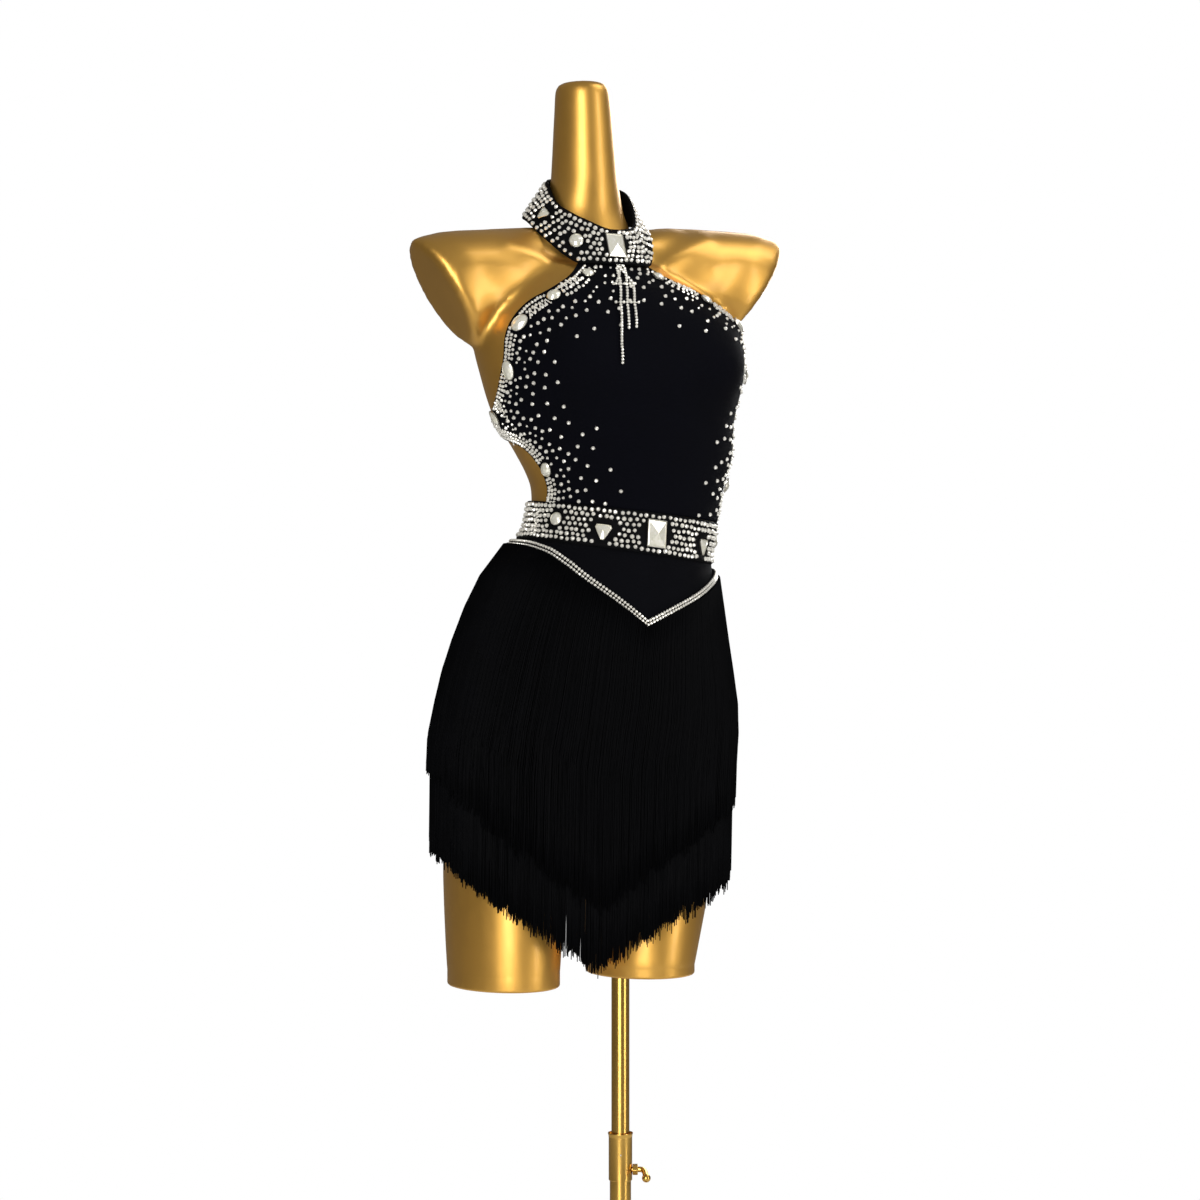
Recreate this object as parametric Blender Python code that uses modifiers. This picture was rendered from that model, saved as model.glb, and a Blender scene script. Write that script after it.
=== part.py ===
"""Fringed halter dance dress on a torso dress form, standing on a telescopic pole.

Run it with blender --background --python part.py, or from the text editor. Scene units are
metres, +Z is up and the dress faces -Y. The tables below hold millimetres. Angles round the
body are in degrees from the middle of the front, positive towards the wearer's left (+X), so
the middle of the back is 180. The origin is on the floor, under the middle of the whole object.
"""

import math

import bmesh
import bpy
import numpy as np
from mathutils import Matrix, Vector

MM = 0.001
COLLECTION = "fringed_halter_dress"
CUTTERS = "cutters"

# The middle of the whole object, measured from the spine line that the tables use.
MIDDLE = (6.0, 0.0)

# Walls and gaps.
SEAM = 0.3
CLEAR = 2.0
CREPE = 1.3
BAND = 2.4
KNIT = 1.2
STRAND_DEPTH = 2.4
LAYER_GAP = 1.4
BODY_SIDES = 48


class Table:
    """Rows of named columns, read between the rows by a smooth curve that never overshoots."""

    def __init__(self, names, rows):
        self.names = names.split()
        self.columns = [np.array(column, dtype=float) for column in zip(*rows)]
        self.keys = self.columns[0]
        self.slopes = [self._slopes(column) for column in self.columns]

    def _slopes(self, values):
        """Tangents at the rows: the harmonic mean of the slopes beside each, or flat at a turn."""
        steps = np.diff(values) / np.diff(self.keys)
        slopes = np.zeros(len(values))
        slopes[0] = steps[0]
        slopes[-1] = steps[-1]
        for i in range(1, len(values) - 1):
            before, after = steps[i - 1], steps[i]
            if before * after > 0:
                slopes[i] = 2 * before * after / (before + after)
        return slopes

    def at(self, key):
        """Every column's value at a key, by name."""
        key = min(max(key, self.keys[0]), self.keys[-1])
        i = min(int(np.searchsorted(self.keys, key, side="right")) - 1, len(self.keys) - 2)
        span = self.keys[i + 1] - self.keys[i]
        t = (key - self.keys[i]) / span
        start = (1 + 2 * t) * (1 - t) ** 2
        leave = t * (1 - t) ** 2 * span
        end = t * t * (3 - 2 * t)
        arrive = t * t * (t - 1) * span
        return {
            name: start * v[i] + leave * m[i] + end * v[i + 1] + arrive * m[i + 1]
            for name, v, m in zip(self.names, self.columns, self.slopes)
        }

    def value(self, key, name):
        return self.at(key)[name]


# The form's trunk and neck: a row for each level section, which leans to a side by tilt and
# forward by nod. The hips are pushed to the wearer's right, and the belt line drops to the left.
# A section is an ellipse where square is 2, and squarer above that.
TRUNK = Table(
    "height x y tilt nod width front back square",
    (
        (812, -24, 2, 3, 0, 62, 52, 60, 2.5),
        (822, -23, 2, 3.4, 0, 108, 74, 84, 2.5),
        (842, -20, 3, 4, 0, 148, 90, 104, 2.5),
        (880, -17, 4, 4, 0, 155, 98, 118, 2.5),
        (940, -10, 4, 5, 0, 150.5, 104, 121, 2.35),
        (1000, -5, 4, 6, 0, 138.5, 104, 112, 2.15),
        (1060, 4, 2, 6.6, 0, 121.5, 98, 96, 2),
        (1110, 19.5, 0, 6.6, 3, 98.5, 90, 80, 2),
        (1150, 27, 0, 5, 3, 102, 86, 78, 2),
        (1200, 23, 0, 2, 0, 120.5, 94, 88, 2),
        (1240, 14, 2, 0, 0, 134, 103, 94, 2),
        (1280, 13, 4, -1, 0, 145, 112, 96, 2),
        (1320, 10, 8, -2, 0, 151, 106, 92, 2),
        (1360, 2, 12, -1, 0, 128, 86, 86, 2),
        (1385, -5, 14, 0, 0, 94, 61, 74, 2),
        (1400, -8, 16, 0, 0, 72, 49, 62, 2),
        (1425, -10, 17, 0, 0, 54, 43, 47, 2),
        (1450, -11, 17, 0, 0, 42, 39.5, 40, 2),
        (1485, -12, 15, 0, 0, 35, 37, 37, 2),
        (1555, -16, 10, 0, 0, 30, 32, 33, 2),
        (1580, -18, 8, 0, 0, 28, 30, 31, 2),
        (1586, -18, 8, 0, 0, 24, 26, 27, 2),
    ),
)
TRUNK_LEVELS = (
    812, 822, 832, 842, 860, 880, 910, 940, 970, 1000, 1030, 1060, 1077, 1094, 1108, 1122, 1136,
    1155, 1175, 1200, 1220, 1240, 1260, 1280, 1300, 1320, 1340, 1360, 1373, 1385, 1400, 1425,
    1450, 1485, 1555, 1580, 1586,
)  # fmt: skip
BUST_HEIGHT = 1286
BUST_ANGLE = 33
BUST_RISE = 13
BUST_REACH = 36
BUST_SPREAD = 17

# An armless shoulder: a row for each section along it, which leans out at the top by lean.
SHOULDER = Table(
    "reach middle height half_height half_depth lean",
    (
        (30, 16, 1396, 36, 32, 3),
        (75, 17, 1391, 47, 40, 8),
        (120, 17, 1387, 50, 46, 16),
        (160, 15, 1381, 57, 46, 27),
        (181, 14, 1371, 64, 43, 33),
        (185, 14, 1369, 60, 39, 33),
    ),
)
SHOULDER_STATIONS = (30, 52, 75, 98, 120, 140, 160, 181, 185)
SHOULDER_TILT = 0.062
SHOULDER_MIDDLE = 6

# A thigh stump: a row for each level section, from its cut end up into the hips.
THIGH_RIGHT = Table(
    "height x y width depth",
    (
        (646.5, -112, 4, 49, 62),
        (650.5, -112, 4, 54, 68),
        (658, -112, 4, 55.5, 69.5),
        (730, -112, 4, 59, 74),
        (820, -106, 4, 64, 80),
        (900, -93, 4, 70, 84),
    ),
)
THIGH_LEFT = Table(
    "height x y width depth",
    (
        (651.7, 43, -6, 49, 60),
        (655.7, 43, -6, 54, 66),
        (663, 43, -6, 55.5, 67.5),
        (730, 50, -5, 63.5, 72),
        (820, 53, -4, 66, 78),
        (900, 52, -2, 70, 82),
    ),
)
THIGH_SIDES = 28

# The halter front: how far each edge stands from the middle of the front.
BODICE = Table(
    "height edge",
    (
        (1136.8, 77),
        (1156, 75),
        (1172, 75),
        (1186, 77),
        (1198, 82),
        (1206, 93),
        (1213, 107),
        (1226, 107),
        (1234, 101),
        (1244, 90),
        (1260, 81),
        (1280, 74.5),
        (1296, 70),
        (1316, 66),
        (1334, 61),
        (1349, 54),
        (1362, 42),
        (1376, 31),
        (1388.6, 25),
    ),
)
BODICE_LEVELS = tuple(BODICE.keys)
BODICE_COLUMNS = 22

# The collar: a row for each direction round the neck, with the reach of both edges.
COLLAR_MIDDLE = (-8, 12)
COLLAR = Table(
    "angle bottom_reach bottom top_reach top",
    (
        (-180, 59, 1450, 44, 1492),
        (-140, 64, 1450, 42.5, 1488),
        (-100, 69, 1442, 43.5, 1478),
        (-65, 69, 1416, 50, 1453),
        (-50, 66, 1401, 51, 1445),
        (-35, 65, 1392, 51, 1438),
        (0, 63, 1392, 50, 1427),
        (35, 68, 1392, 48, 1431),
        (65, 63, 1425, 46, 1447),
        (100, 58, 1442, 46, 1476),
        (140, 58, 1445, 45, 1487),
        (180, 59, 1450, 44, 1492),
    ),
)
COLLAR_LAP = 6
COLLAR_STEPS = 40

BELT_BOTTOM = 1094
BELT_TOP = 1136

STRAP_BOTTOM = 1213.5
STRAP_TOP = 1225.5
STRAP_EDGE = 107

# The skirt's lines: a row for each direction, the same on both sides.
LINES = Table(
    "angle chain upper_hem lower_hem",
    (
        (0, 1020, 732, 671),
        (12, 1036, 752, 688),
        (27, 1053, 782, 713),
        (45, 1071, 810, 738),
        (60, 1081, 832, 756),
        (80, 1086, 850, 770),
        (110, 1087, 860, 780),
        (180, 1087, 862, 782),
    ),
)
SKIRT_TURN = 13
CHAIN_WIDTH = 7
HEADER_DROP = 62
BASE_SHORTER = 62
FRINGE_ROWS = 9
BASE_ROWS = 8
FULLEST = 880
TAPER = 0.01
SWAY = 0.02

# The stand.
POLE = (23.2, 0.0)
INNER_RADIUS = 9.5
INNER_WALL = 1.2
OUTER_RADIUS = 11.2
OUTER_BORE = 9.8
SLEEVE_RADIUS = 12.4
SLEEVE_TOP = 483
SLEEVE_LENGTH = 50
LIP = 4
INNER_BOTTOM = 150
SOCKET_TOP = 760
BASE_RADIUS = 170
BASE_THICKNESS = 8
HUB_RADIUS = 24
HUB_HEIGHT = 26
TUBE_SIDES = 32
SCREW_HEIGHT = 444
SCREW_HEADING = -28
SCREW_RADIUS = 3
NUT_RADIUS = 6.2
NUT_LENGTH = 5.6


def start_collection(name):
    """A new collection in the scene."""
    collection = bpy.data.collections.new(name)
    bpy.context.scene.collection.children.link(collection)
    return collection


def clear_scene():
    """Remove every object, so that the script can run in any file."""
    for obj in list(bpy.data.objects):
        bpy.data.objects.remove(obj, do_unlink=True)


def material(name, colour, roughness, metallic=0.0):
    """A Principled material, made once for each name."""
    found = bpy.data.materials.get(name)
    if found:
        return found
    made = bpy.data.materials.new(name)
    made.use_nodes = True
    shader = made.node_tree.nodes["Principled BSDF"]
    shader.inputs["Base Color"].default_value = (*colour, 1.0)
    shader.inputs["Roughness"].default_value = roughness
    shader.inputs["Metallic"].default_value = metallic
    return made


def gold_paint():
    return material("gold_paint", (0.58, 0.36, 0.08), 0.28, 0.9)


def brass():
    return material("brass", (0.62, 0.42, 0.13), 0.22, 1.0)


def black_crepe():
    return material("black_crepe", (0.008, 0.008, 0.012), 0.8)


def black_knit():
    return material("black_knit", (0.012, 0.012, 0.016), 0.75)


def black_fringe():
    return material("black_fringe", (0.006, 0.006, 0.007), 0.6)


def stone_band():
    return material("stone_band", (0.55, 0.54, 0.5), 0.3, 0.2)


def stone_glass():
    return material("stone_glass", (0.86, 0.84, 0.74), 0.1, 0.1)


def steel():
    return material("steel", (0.5, 0.5, 0.52), 0.3, 1.0)


def place(point):
    """A table position in millimetres as a scene position in metres."""
    return Vector(((point[0] - MIDDLE[0]) * MM, (point[1] - MIDDLE[1]) * MM, point[2] * MM))


def new_object(name, mesh, finish):
    """An object in the part's collection with its material."""
    obj = bpy.data.objects.new(name, mesh)
    bpy.data.collections[COLLECTION].objects.link(obj)
    mesh.materials.append(finish)
    return obj


def new_cutter(name, mesh):
    """A hidden helper object for a boolean."""
    obj = bpy.data.objects.new(name, mesh)
    bpy.data.collections[CUTTERS].objects.link(obj)
    obj.hide_render = True
    obj.display_type = "WIRE"
    return obj


def shade(mesh, angle=40):
    """Smooth shading, with edges kept sharp past an angle."""
    mesh.shade_smooth()
    mesh.set_sharp_from_angle(angle=math.radians(angle))


def bust(height, angle):
    """The rise of the bust over the plain section."""
    level = math.exp(-(((height - BUST_HEIGHT) / BUST_REACH) ** 2))
    left = math.exp(-(((angle - BUST_ANGLE) / BUST_SPREAD) ** 2))
    right = math.exp(-(((angle + BUST_ANGLE) / BUST_SPREAD) ** 2))
    return BUST_RISE * level * (left + right)


def trunk_spot(height, angle):
    """A point of the trunk's surface, in millimetres."""
    row = TRUNK.at(height)
    angle = (angle + 180) % 360 - 180
    turn = math.radians(angle)
    depth = row["front"] if abs(angle) < 90 else row["back"]
    grow = 1 + bust(height, angle) / row["front"]
    power = row["square"]
    grow *= (abs(math.sin(turn)) ** power + abs(math.cos(turn)) ** power) ** (-1 / power)
    x = row["width"] * math.sin(turn) * grow
    y = -depth * math.cos(turn) * grow
    tilt = math.radians(row["tilt"])
    nod = math.radians(row["nod"])
    z = row["height"] - x * math.sin(tilt) + y * math.sin(nod)
    return Vector((row["x"] + x * math.cos(tilt), row["y"] + y, z))


def trunk_point(height, angle, out=0.0):
    """A point that stands out of the trunk's surface by a distance, in millimetres."""
    spot = trunk_spot(height, angle)
    if out == 0:
        return spot
    around = trunk_spot(height, angle + 1) - trunk_spot(height, angle - 1)
    upward = trunk_spot(height + 2, angle) - trunk_spot(height - 2, angle)
    return spot + around.cross(upward).normalized() * out


def skirt_point(height, angle, out):
    """A point of the skirt: on the trunk to the fullest of the hips, and hanging below that."""
    if height >= FULLEST:
        return trunk_point(height, angle, out)
    rim = trunk_point(FULLEST, angle, out)
    middle = TRUNK.at(FULLEST)
    drop = FULLEST - height
    draw_in = 1 - TAPER * min(drop / 160, 1)
    x = middle["x"] + (rim.x - middle["x"]) * draw_in - SWAY * drop
    y = middle["y"] + (rim.y - middle["y"]) * draw_in
    return Vector((x, y, rim.z - drop))


def loft(rings, closed_rings=True, capped=False):
    """A mesh through rings of points, each with as many points as the next."""
    work = bmesh.new()
    grid = [[work.verts.new(place(point)) for point in ring] for ring in rings]
    count = len(rings[0])
    last = count if closed_rings else count - 1
    for lower, upper in zip(grid, grid[1:]):
        for i in range(last):
            j = (i + 1) % count
            work.faces.new((lower[i], lower[j], upper[j], upper[i]))
    if capped:
        work.faces.new(list(reversed(grid[0])))
        work.faces.new(grid[-1])
    mesh = bpy.data.meshes.new("loft")
    work.to_mesh(mesh)
    work.free()
    return mesh


def thicken(obj, wall):
    """Give an open surface its wall, outwards."""
    solid = obj.modifiers.new("wall", "SOLIDIFY")
    solid.thickness = wall * MM
    solid.offset = 1.0
    solid.use_even_offset = True
    solid.use_rim = True
    return solid


def boolean(obj, other, operation):
    """Join another object to this one, or cut it away."""
    step = obj.modifiers.new(other.name, "BOOLEAN")
    step.operation = operation
    step.object = other
    step.solver = "EXACT"
    return step


def spread(first, last, count):
    """Evenly spaced values, both ends included."""
    return [first + (last - first) * i / (count - 1) for i in range(count)]


def round_angles(sides):
    """Directions all round the body."""
    return [-180 + 360 * i / sides for i in range(sides)]


# --- the dress form ---------------------------------------------------------------------


def make_shoulder(name, side):
    """One armless shoulder as a closed helper solid, side +1 for the wearer's left."""
    rings = []
    for reach in SHOULDER_STATIONS:
        row = SHOULDER.at(reach)
        lean = math.radians(row["lean"])
        raised = side * reach * SHOULDER_TILT
        ring = []
        for i in range(24):
            turn = 2 * math.pi * i / 24
            up = row["half_height"] * math.cos(turn)
            x = SHOULDER_MIDDLE + side * (reach + up * math.sin(lean))
            y = row["middle"] + row["half_depth"] * math.sin(turn)
            ring.append((x, y, row["height"] + raised + up * math.cos(lean)))
        rings.append(ring if side < 0 else list(reversed(ring)))
    return new_cutter(name, loft(rings, capped=True))


def make_thigh(name, table):
    """One thigh stump as a closed helper solid."""
    levels = list(table.keys[:3]) + spread(690, table.keys[-1], 7)
    rings = []
    for height in levels:
        row = table.at(height)
        ring = []
        for angle in round_angles(THIGH_SIDES):
            turn = math.radians(angle)
            x = row["x"] + row["width"] * math.sin(turn)
            y = row["y"] - row["depth"] * math.cos(turn)
            ring.append((x, y, height))
        rings.append(ring)
    return new_cutter(name, loft(rings, capped=True))


def make_socket():
    """The blind hole in the left thigh that the pole's top goes into."""
    work = bmesh.new()
    bottom = THIGH_LEFT.keys[0] - 20
    bmesh.ops.create_cone(
        work,
        cap_ends=True,
        segments=TUBE_SIDES,
        radius1=(INNER_RADIUS + SEAM) * MM,
        radius2=(INNER_RADIUS + SEAM) * MM,
        depth=(SOCKET_TOP + 1 - bottom) * MM,
    )
    middle = place((*POLE, (SOCKET_TOP + 1 + bottom) / 2))
    bmesh.ops.translate(work, verts=work.verts, vec=middle)
    mesh = bpy.data.meshes.new("socket")
    work.to_mesh(mesh)
    work.free()
    return new_cutter("socket_cutter", mesh)


def make_form():
    """The whole torso form: trunk, neck, shoulders and thigh stumps in one shell."""
    rings = []
    for height in TRUNK_LEVELS:
        rings.append([trunk_point(height, angle) for angle in round_angles(BODY_SIDES)])
    form = new_object("form_torso", loft(rings, capped=True), gold_paint())
    boolean(form, make_shoulder("shoulder_right", -1), "UNION")
    boolean(form, make_shoulder("shoulder_left", 1), "UNION")
    boolean(form, make_thigh("thigh_right", THIGH_RIGHT), "UNION")
    boolean(form, make_thigh("thigh_left", THIGH_LEFT), "UNION")
    boolean(form, make_socket(), "DIFFERENCE")
    shade(form.data, 30)
    return form


# --- the dress --------------------------------------------------------------------------


def make_bodice():
    """The halter front, open at both sides and at the back."""
    rings = []
    for height in BODICE_LEVELS:
        edge = BODICE.value(height, "edge")
        angles = spread(-edge, edge, BODICE_COLUMNS + 1)
        rings.append([trunk_point(height, angle, CLEAR) for angle in angles])
    bodice = new_object("bodice_front", loft(rings, closed_rings=False), black_crepe())
    thicken(bodice, CREPE)
    shade(bodice.data, 60)


def collar_point(angle, rise, out):
    """A point of the collar: rise runs from its bottom edge, 0, to its top edge, 1."""
    row = COLLAR.at(angle)
    turn = math.radians(angle)
    reach = row["bottom_reach"] + (row["top_reach"] - row["bottom_reach"]) * rise + out
    height = row["bottom"] + (row["top"] - row["bottom"]) * rise
    x = COLLAR_MIDDLE[0] + reach * math.sin(turn)
    y = COLLAR_MIDDLE[1] - reach * math.cos(turn)
    return Vector((x, y, height))


def make_collar():
    """The stiffened band round the neck, with a lap at the back held by a flat hook."""
    opening = 180 - COLLAR_LAP
    angles = spread(-opening, opening, COLLAR_STEPS + 1)
    rings = [[collar_point(angle, rise, 0) for angle in angles] for rise in (0, 0.5, 1)]
    collar = new_object("halter_collar", loft(rings, closed_rings=False), black_crepe())
    thicken(collar, BAND)
    shade(collar.data, 60)

    reach = BAND + SEAM + LAYER_GAP
    across = spread(180 - 2 * COLLAR_LAP, 180 + 2 * COLLAR_LAP, 5)
    rings = [
        [collar_point((a + 180) % 360 - 180, rise, reach) for a in across] for rise in (0.3, 0.7)
    ]
    hook = new_object("collar_hook", loft(rings, closed_rings=False), steel())
    thicken(hook, CREPE)


def make_back_strap():
    """The narrow strap across the bare back, between the wing tips."""
    start = STRAP_EDGE + math.degrees(2 * SEAM / TRUNK.value(STRAP_TOP, "width"))
    angles = spread(start, 360 - start, 17)
    rings = [[trunk_point(h, a, CLEAR) for a in angles] for h in (STRAP_BOTTOM, STRAP_TOP)]
    strap = new_object("back_strap", loft(rings, closed_rings=False), black_crepe())
    thicken(strap, CREPE)


def make_belt():
    """The stiffened band round the waist."""
    rings = []
    for height in spread(BELT_BOTTOM, BELT_TOP, 4):
        rings.append([trunk_point(height, a, CLEAR) for a in round_angles(BODY_SIDES)])
    belt = new_object("waist_belt", loft(rings), black_crepe())
    thicken(belt, BAND)
    shade(belt.data, 60)


def line(angle, name):
    """The height of one of the skirt's lines in a direction, the V being turned a little."""
    off = abs((angle + SKIRT_TURN + 180) % 360 - 180)
    return LINES.value(off, name)


def chain_line(angle):
    """The height of the hip chain's middle, whose V is on the middle of the front."""
    return LINES.value(abs((angle + 180) % 360 - 180), "chain")


def make_skirt_base():
    """The knit skirt under the fringe, in a front and a back with side seams."""
    top = BELT_BOTTOM - SEAM
    gap = math.degrees(SEAM / TRUNK.value(1000, "width"))
    half = BODY_SIDES // 4
    halves = {
        "skirt_base_front": [-90 + gap] + [7.5 * i for i in range(1 - half, half)] + [90 - gap],
        "skirt_base_back": [90 + gap]
        + [7.5 * i for i in range(half + 1, 3 * half)]
        + [270 - gap],
    }
    for name, angles in halves.items():
        rings = []
        for i in range(BASE_ROWS + 1):
            ring = []
            for angle in angles:
                bottom = line(angle, "lower_hem") + BASE_SHORTER
                height = bottom + (top - bottom) * i / BASE_ROWS
                ring.append(skirt_point(height, angle, CLEAR))
            rings.append(ring)
        base = new_object(name, loft(rings, closed_rings=False), black_knit())
        thicken(base, KNIT)
        shade(base.data, 60)


def make_fringe():
    """Two lengths of fringe, each as the solid of its reach."""
    on_knit = CLEAR + KNIT + LAYER_GAP
    on_fringe = on_knit + STRAND_DEPTH + LAYER_GAP
    angles = round_angles(BODY_SIDES)

    rings = []
    for i in range(FRINGE_ROWS):
        ring = []
        for angle in angles:
            bottom = line(angle, "lower_hem")
            top = chain_line(angle) - HEADER_DROP
            height = bottom + (top - bottom) * i / (FRINGE_ROWS - 1)
            ring.append(skirt_point(height, angle, on_knit))
        rings.append(ring)
    lower = new_object("fringe_lower", loft(rings), black_fringe())
    thicken(lower, STRAND_DEPTH)
    shade(lower.data, 60)

    rings = []
    rises = (0, 0.16, 0.3, 0.42, 0.54, 0.66, 0.78, 0.88, 0.95, 1)
    for rise in rises:
        ring = []
        for angle in angles:
            bottom = line(angle, "upper_hem")
            top = chain_line(angle) - CHAIN_WIDTH / 2 - SEAM
            height = bottom + (top - bottom) * rise
            below = min(max((top - height) / (HEADER_DROP * 0.6), 0), 1)
            out = on_knit + (on_fringe - on_knit) * below * below * (3 - 2 * below)
            ring.append(skirt_point(height, angle, out))
        rings.append(ring)
    upper = new_object("fringe_upper", loft(rings), black_fringe())
    thicken(upper, STRAND_DEPTH)
    shade(upper.data, 60)


def make_hip_chain():
    """Two rows of set stones on a tape, over the top edge of the fringe."""
    rings = []
    for edge in (-CHAIN_WIDTH / 2, CHAIN_WIDTH / 2):
        ring = []
        for angle in round_angles(BODY_SIDES):
            height = min(chain_line(angle) + edge, BELT_BOTTOM - SEAM - 0.2)
            ring.append(trunk_point(height, angle, CLEAR + KNIT + LAYER_GAP))
        rings.append(ring)
    chain = new_object("hip_chain", loft(rings), stone_band())
    thicken(chain, BAND)


# --- set stones -------------------------------------------------------------------------


def surface_frame(point, across, up):
    """A matrix with X across, Y up and Z out of a surface, at a point in millimetres."""
    out = across.cross(up).normalized()
    side = across.normalized()
    rise = out.cross(side)
    turn = Matrix((side, rise, out)).transposed().to_4x4()
    return Matrix.Translation(place(point)) @ turn


def make_stone(name, frame, sides, width, height, rise, spin=0.0, crown=0.25):
    """A faceted stone, cut as a low cone with a flat back, standing on a surface frame."""
    work = bmesh.new()
    bmesh.ops.create_cone(
        work,
        cap_ends=True,
        segments=sides,
        radius1=1.0,
        radius2=crown,
        depth=1.0,
        matrix=Matrix.Rotation(math.radians(spin), 4, "Z"),
    )
    reach = math.cos(math.pi / sides) if sides == 4 else 1.0
    scale = (width / 2 / reach * MM, height / 2 / reach * MM, rise * MM)
    bmesh.ops.scale(work, verts=work.verts, vec=scale)
    bmesh.ops.translate(work, verts=work.verts, vec=(0, 0, rise / 2 * MM))
    bmesh.ops.transform(work, verts=work.verts, matrix=frame)
    mesh = bpy.data.meshes.new(name)
    work.to_mesh(mesh)
    work.free()
    return new_object(name, mesh, stone_glass())


def belt_frame(height, angle):
    """The frame of a stone on the belt or the bodice's edge band."""
    out = CLEAR + BAND + SEAM + 0.2
    across = trunk_point(height, angle + 2, out) - trunk_point(height, angle - 2, out)
    up = trunk_point(height + 4, angle, out) - trunk_point(height - 4, angle, out)
    return surface_frame(trunk_point(height, angle, out), across, up)


def collar_frame(angle, rise):
    """The frame of a stone on the collar."""
    out = BAND + SEAM + 0.4
    across = collar_point(angle + 3, rise, out) - collar_point(angle - 3, rise, out)
    up = collar_point(angle, rise + 0.1, out) - collar_point(angle, rise - 0.1, out)
    return surface_frame(collar_point(angle, rise, out), across, up)


# Stones on belt and bodice: a row for each, by height and angle, with its outline.
BAND_STONES = (
    # name, height, angle, sides, width, height, rise, spin
    ("stone_belt_square", 1115, -3.6, 4, 22, 28, 4.5, 45),
    ("stone_belt_triangle_right", 1111, -35, 3, 22, 22, 4, 90),
    ("stone_belt_triangle_left", 1111, 35, 3, 22, 22, 4, 90),
    ("stone_belt_round_right", 1118, -66, 8, 13, 13, 3.5, 22.5),
    ("stone_belt_round_left", 1118, 66, 8, 13, 13, 3.5, 22.5),
    ("stone_chest_top_right", 1376, -22, 8, 15, 12, 3.5, 22.5),
    ("stone_chest_top_left", 1376, 22, 8, 15, 12, 3.5, 22.5),
    ("stone_chest_middle_right", 1353, -41, 8, 15, 11, 3.5, 22.5),
    ("stone_chest_middle_left", 1353, 41, 8, 15, 11, 3.5, 22.5),
    ("stone_arm_right", 1328, -57, 8, 17, 12, 3.5, 22.5),
    ("stone_arm_left", 1328, 57, 8, 17, 12, 3.5, 22.5),
    ("stone_side_right", 1281, -69, 8, 11, 17, 3.5, 22.5),
    ("stone_side_left", 1281, 69, 8, 11, 17, 3.5, 22.5),
    ("stone_wing_right", 1233, -92, 8, 12, 16, 3.5, 22.5),
    ("stone_wing_left", 1233, 92, 8, 12, 16, 3.5, 22.5),
    ("stone_cut_right", 1174, -70, 8, 12, 15, 3.5, 22.5),
    ("stone_cut_left", 1174, 70, 8, 12, 15, 3.5, 22.5),
)


def make_stones():
    """The large set stones of belt, bodice and collar."""
    for name, height, angle, sides, width, tall, rise, spin in BAND_STONES:
        make_stone(name, belt_frame(height, angle), sides, width, tall, rise, spin)
    make_stone("stone_collar_square", collar_frame(0, 0.52), 4, 21, 26, 4.5, 45)
    make_stone("stone_collar_round", collar_frame(-40, 0.45), 8, 14, 14, 3.5, 22.5)
    make_stone("stone_collar_triangle", collar_frame(-78, 0.5), 3, 18, 18, 4, 90)


# The pendant's strands: where each starts and ends across from the spine line, and how far
# down it reaches.
PENDANT = (
    # name, across at the top, across at the bottom, bottom
    ("pendant_strand_right", -13.0, -35.0, 1286),
    ("pendant_strand_middle", -4.5, -21.5, 1320),
    ("pendant_strand_left", 3.0, -13.5, 1321),
)
PENDANT_TOP = 1388
PENDANT_RADIUS = 1.2


def pendant_point(height, x, out):
    """A point over the bodice, at a distance across from the spine line."""
    row = TRUNK.at(height)
    angle = math.degrees(math.asin((x - row["x"]) / row["width"]))
    return trunk_point(height, angle, out)


def make_pendant():
    """Strands of set stones that hang from the collar stone, over the bodice."""
    out = CLEAR + CREPE + SEAM + PENDANT_RADIUS + 1.0
    for name, top_across, bottom_across, bottom in PENDANT:
        curve = bpy.data.curves.new(name, "CURVE")
        curve.dimensions = "3D"
        curve.bevel_depth = PENDANT_RADIUS * MM
        curve.bevel_resolution = 1
        curve.use_fill_caps = True
        spline = curve.splines.new("POLY")
        heights = spread(PENDANT_TOP, bottom, 9)
        across = spread(top_across, bottom_across, 9)
        spline.points.add(len(heights) - 1)
        for point, height, x in zip(spline.points, heights, across):
            point.co = (*place(pendant_point(height, x, out)), 1.0)
        strand = bpy.data.objects.new(name, curve)
        bpy.data.collections[COLLECTION].objects.link(strand)
        curve.materials.append(stone_band())


# --- the stand --------------------------------------------------------------------------


def turned(name, profile, finish, sides=TUBE_SIDES):
    """A round solid about the pole's axis from a closed profile of (radius, height)."""
    mesh = bpy.data.meshes.new(name)
    points = [(radius * MM, 0.0, height * MM) for radius, height in profile]
    edges = [(i, (i + 1) % len(points)) for i in range(len(points))]
    mesh.from_pydata(points, edges, [])
    obj = new_object(name, mesh, finish)
    obj.location = place((*POLE, 0))
    screw = obj.modifiers.new("turn", "SCREW")
    screw.steps = sides
    screw.render_steps = sides
    screw.use_merge_vertices = True
    screw.merge_threshold = 0.00005
    return obj


def tube(name, inner, outer, bottom, top, finish):
    """A plain tube about the pole's axis."""
    profile = ((outer, top), (outer, bottom), (inner, bottom), (inner, top))
    return turned(name, profile, finish)


def screw_matrix():
    """The clamp screw's frame: Z along its axis, away from the pole."""
    heading = math.radians(SCREW_HEADING)
    out = Vector((math.cos(heading), math.sin(heading), 0))
    up = Vector((0, 0, 1))
    side = out.cross(up)
    turn = Matrix((up, side, out)).transposed().to_4x4()
    return Matrix.Translation(place((*POLE, SCREW_HEIGHT))) @ turn


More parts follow.
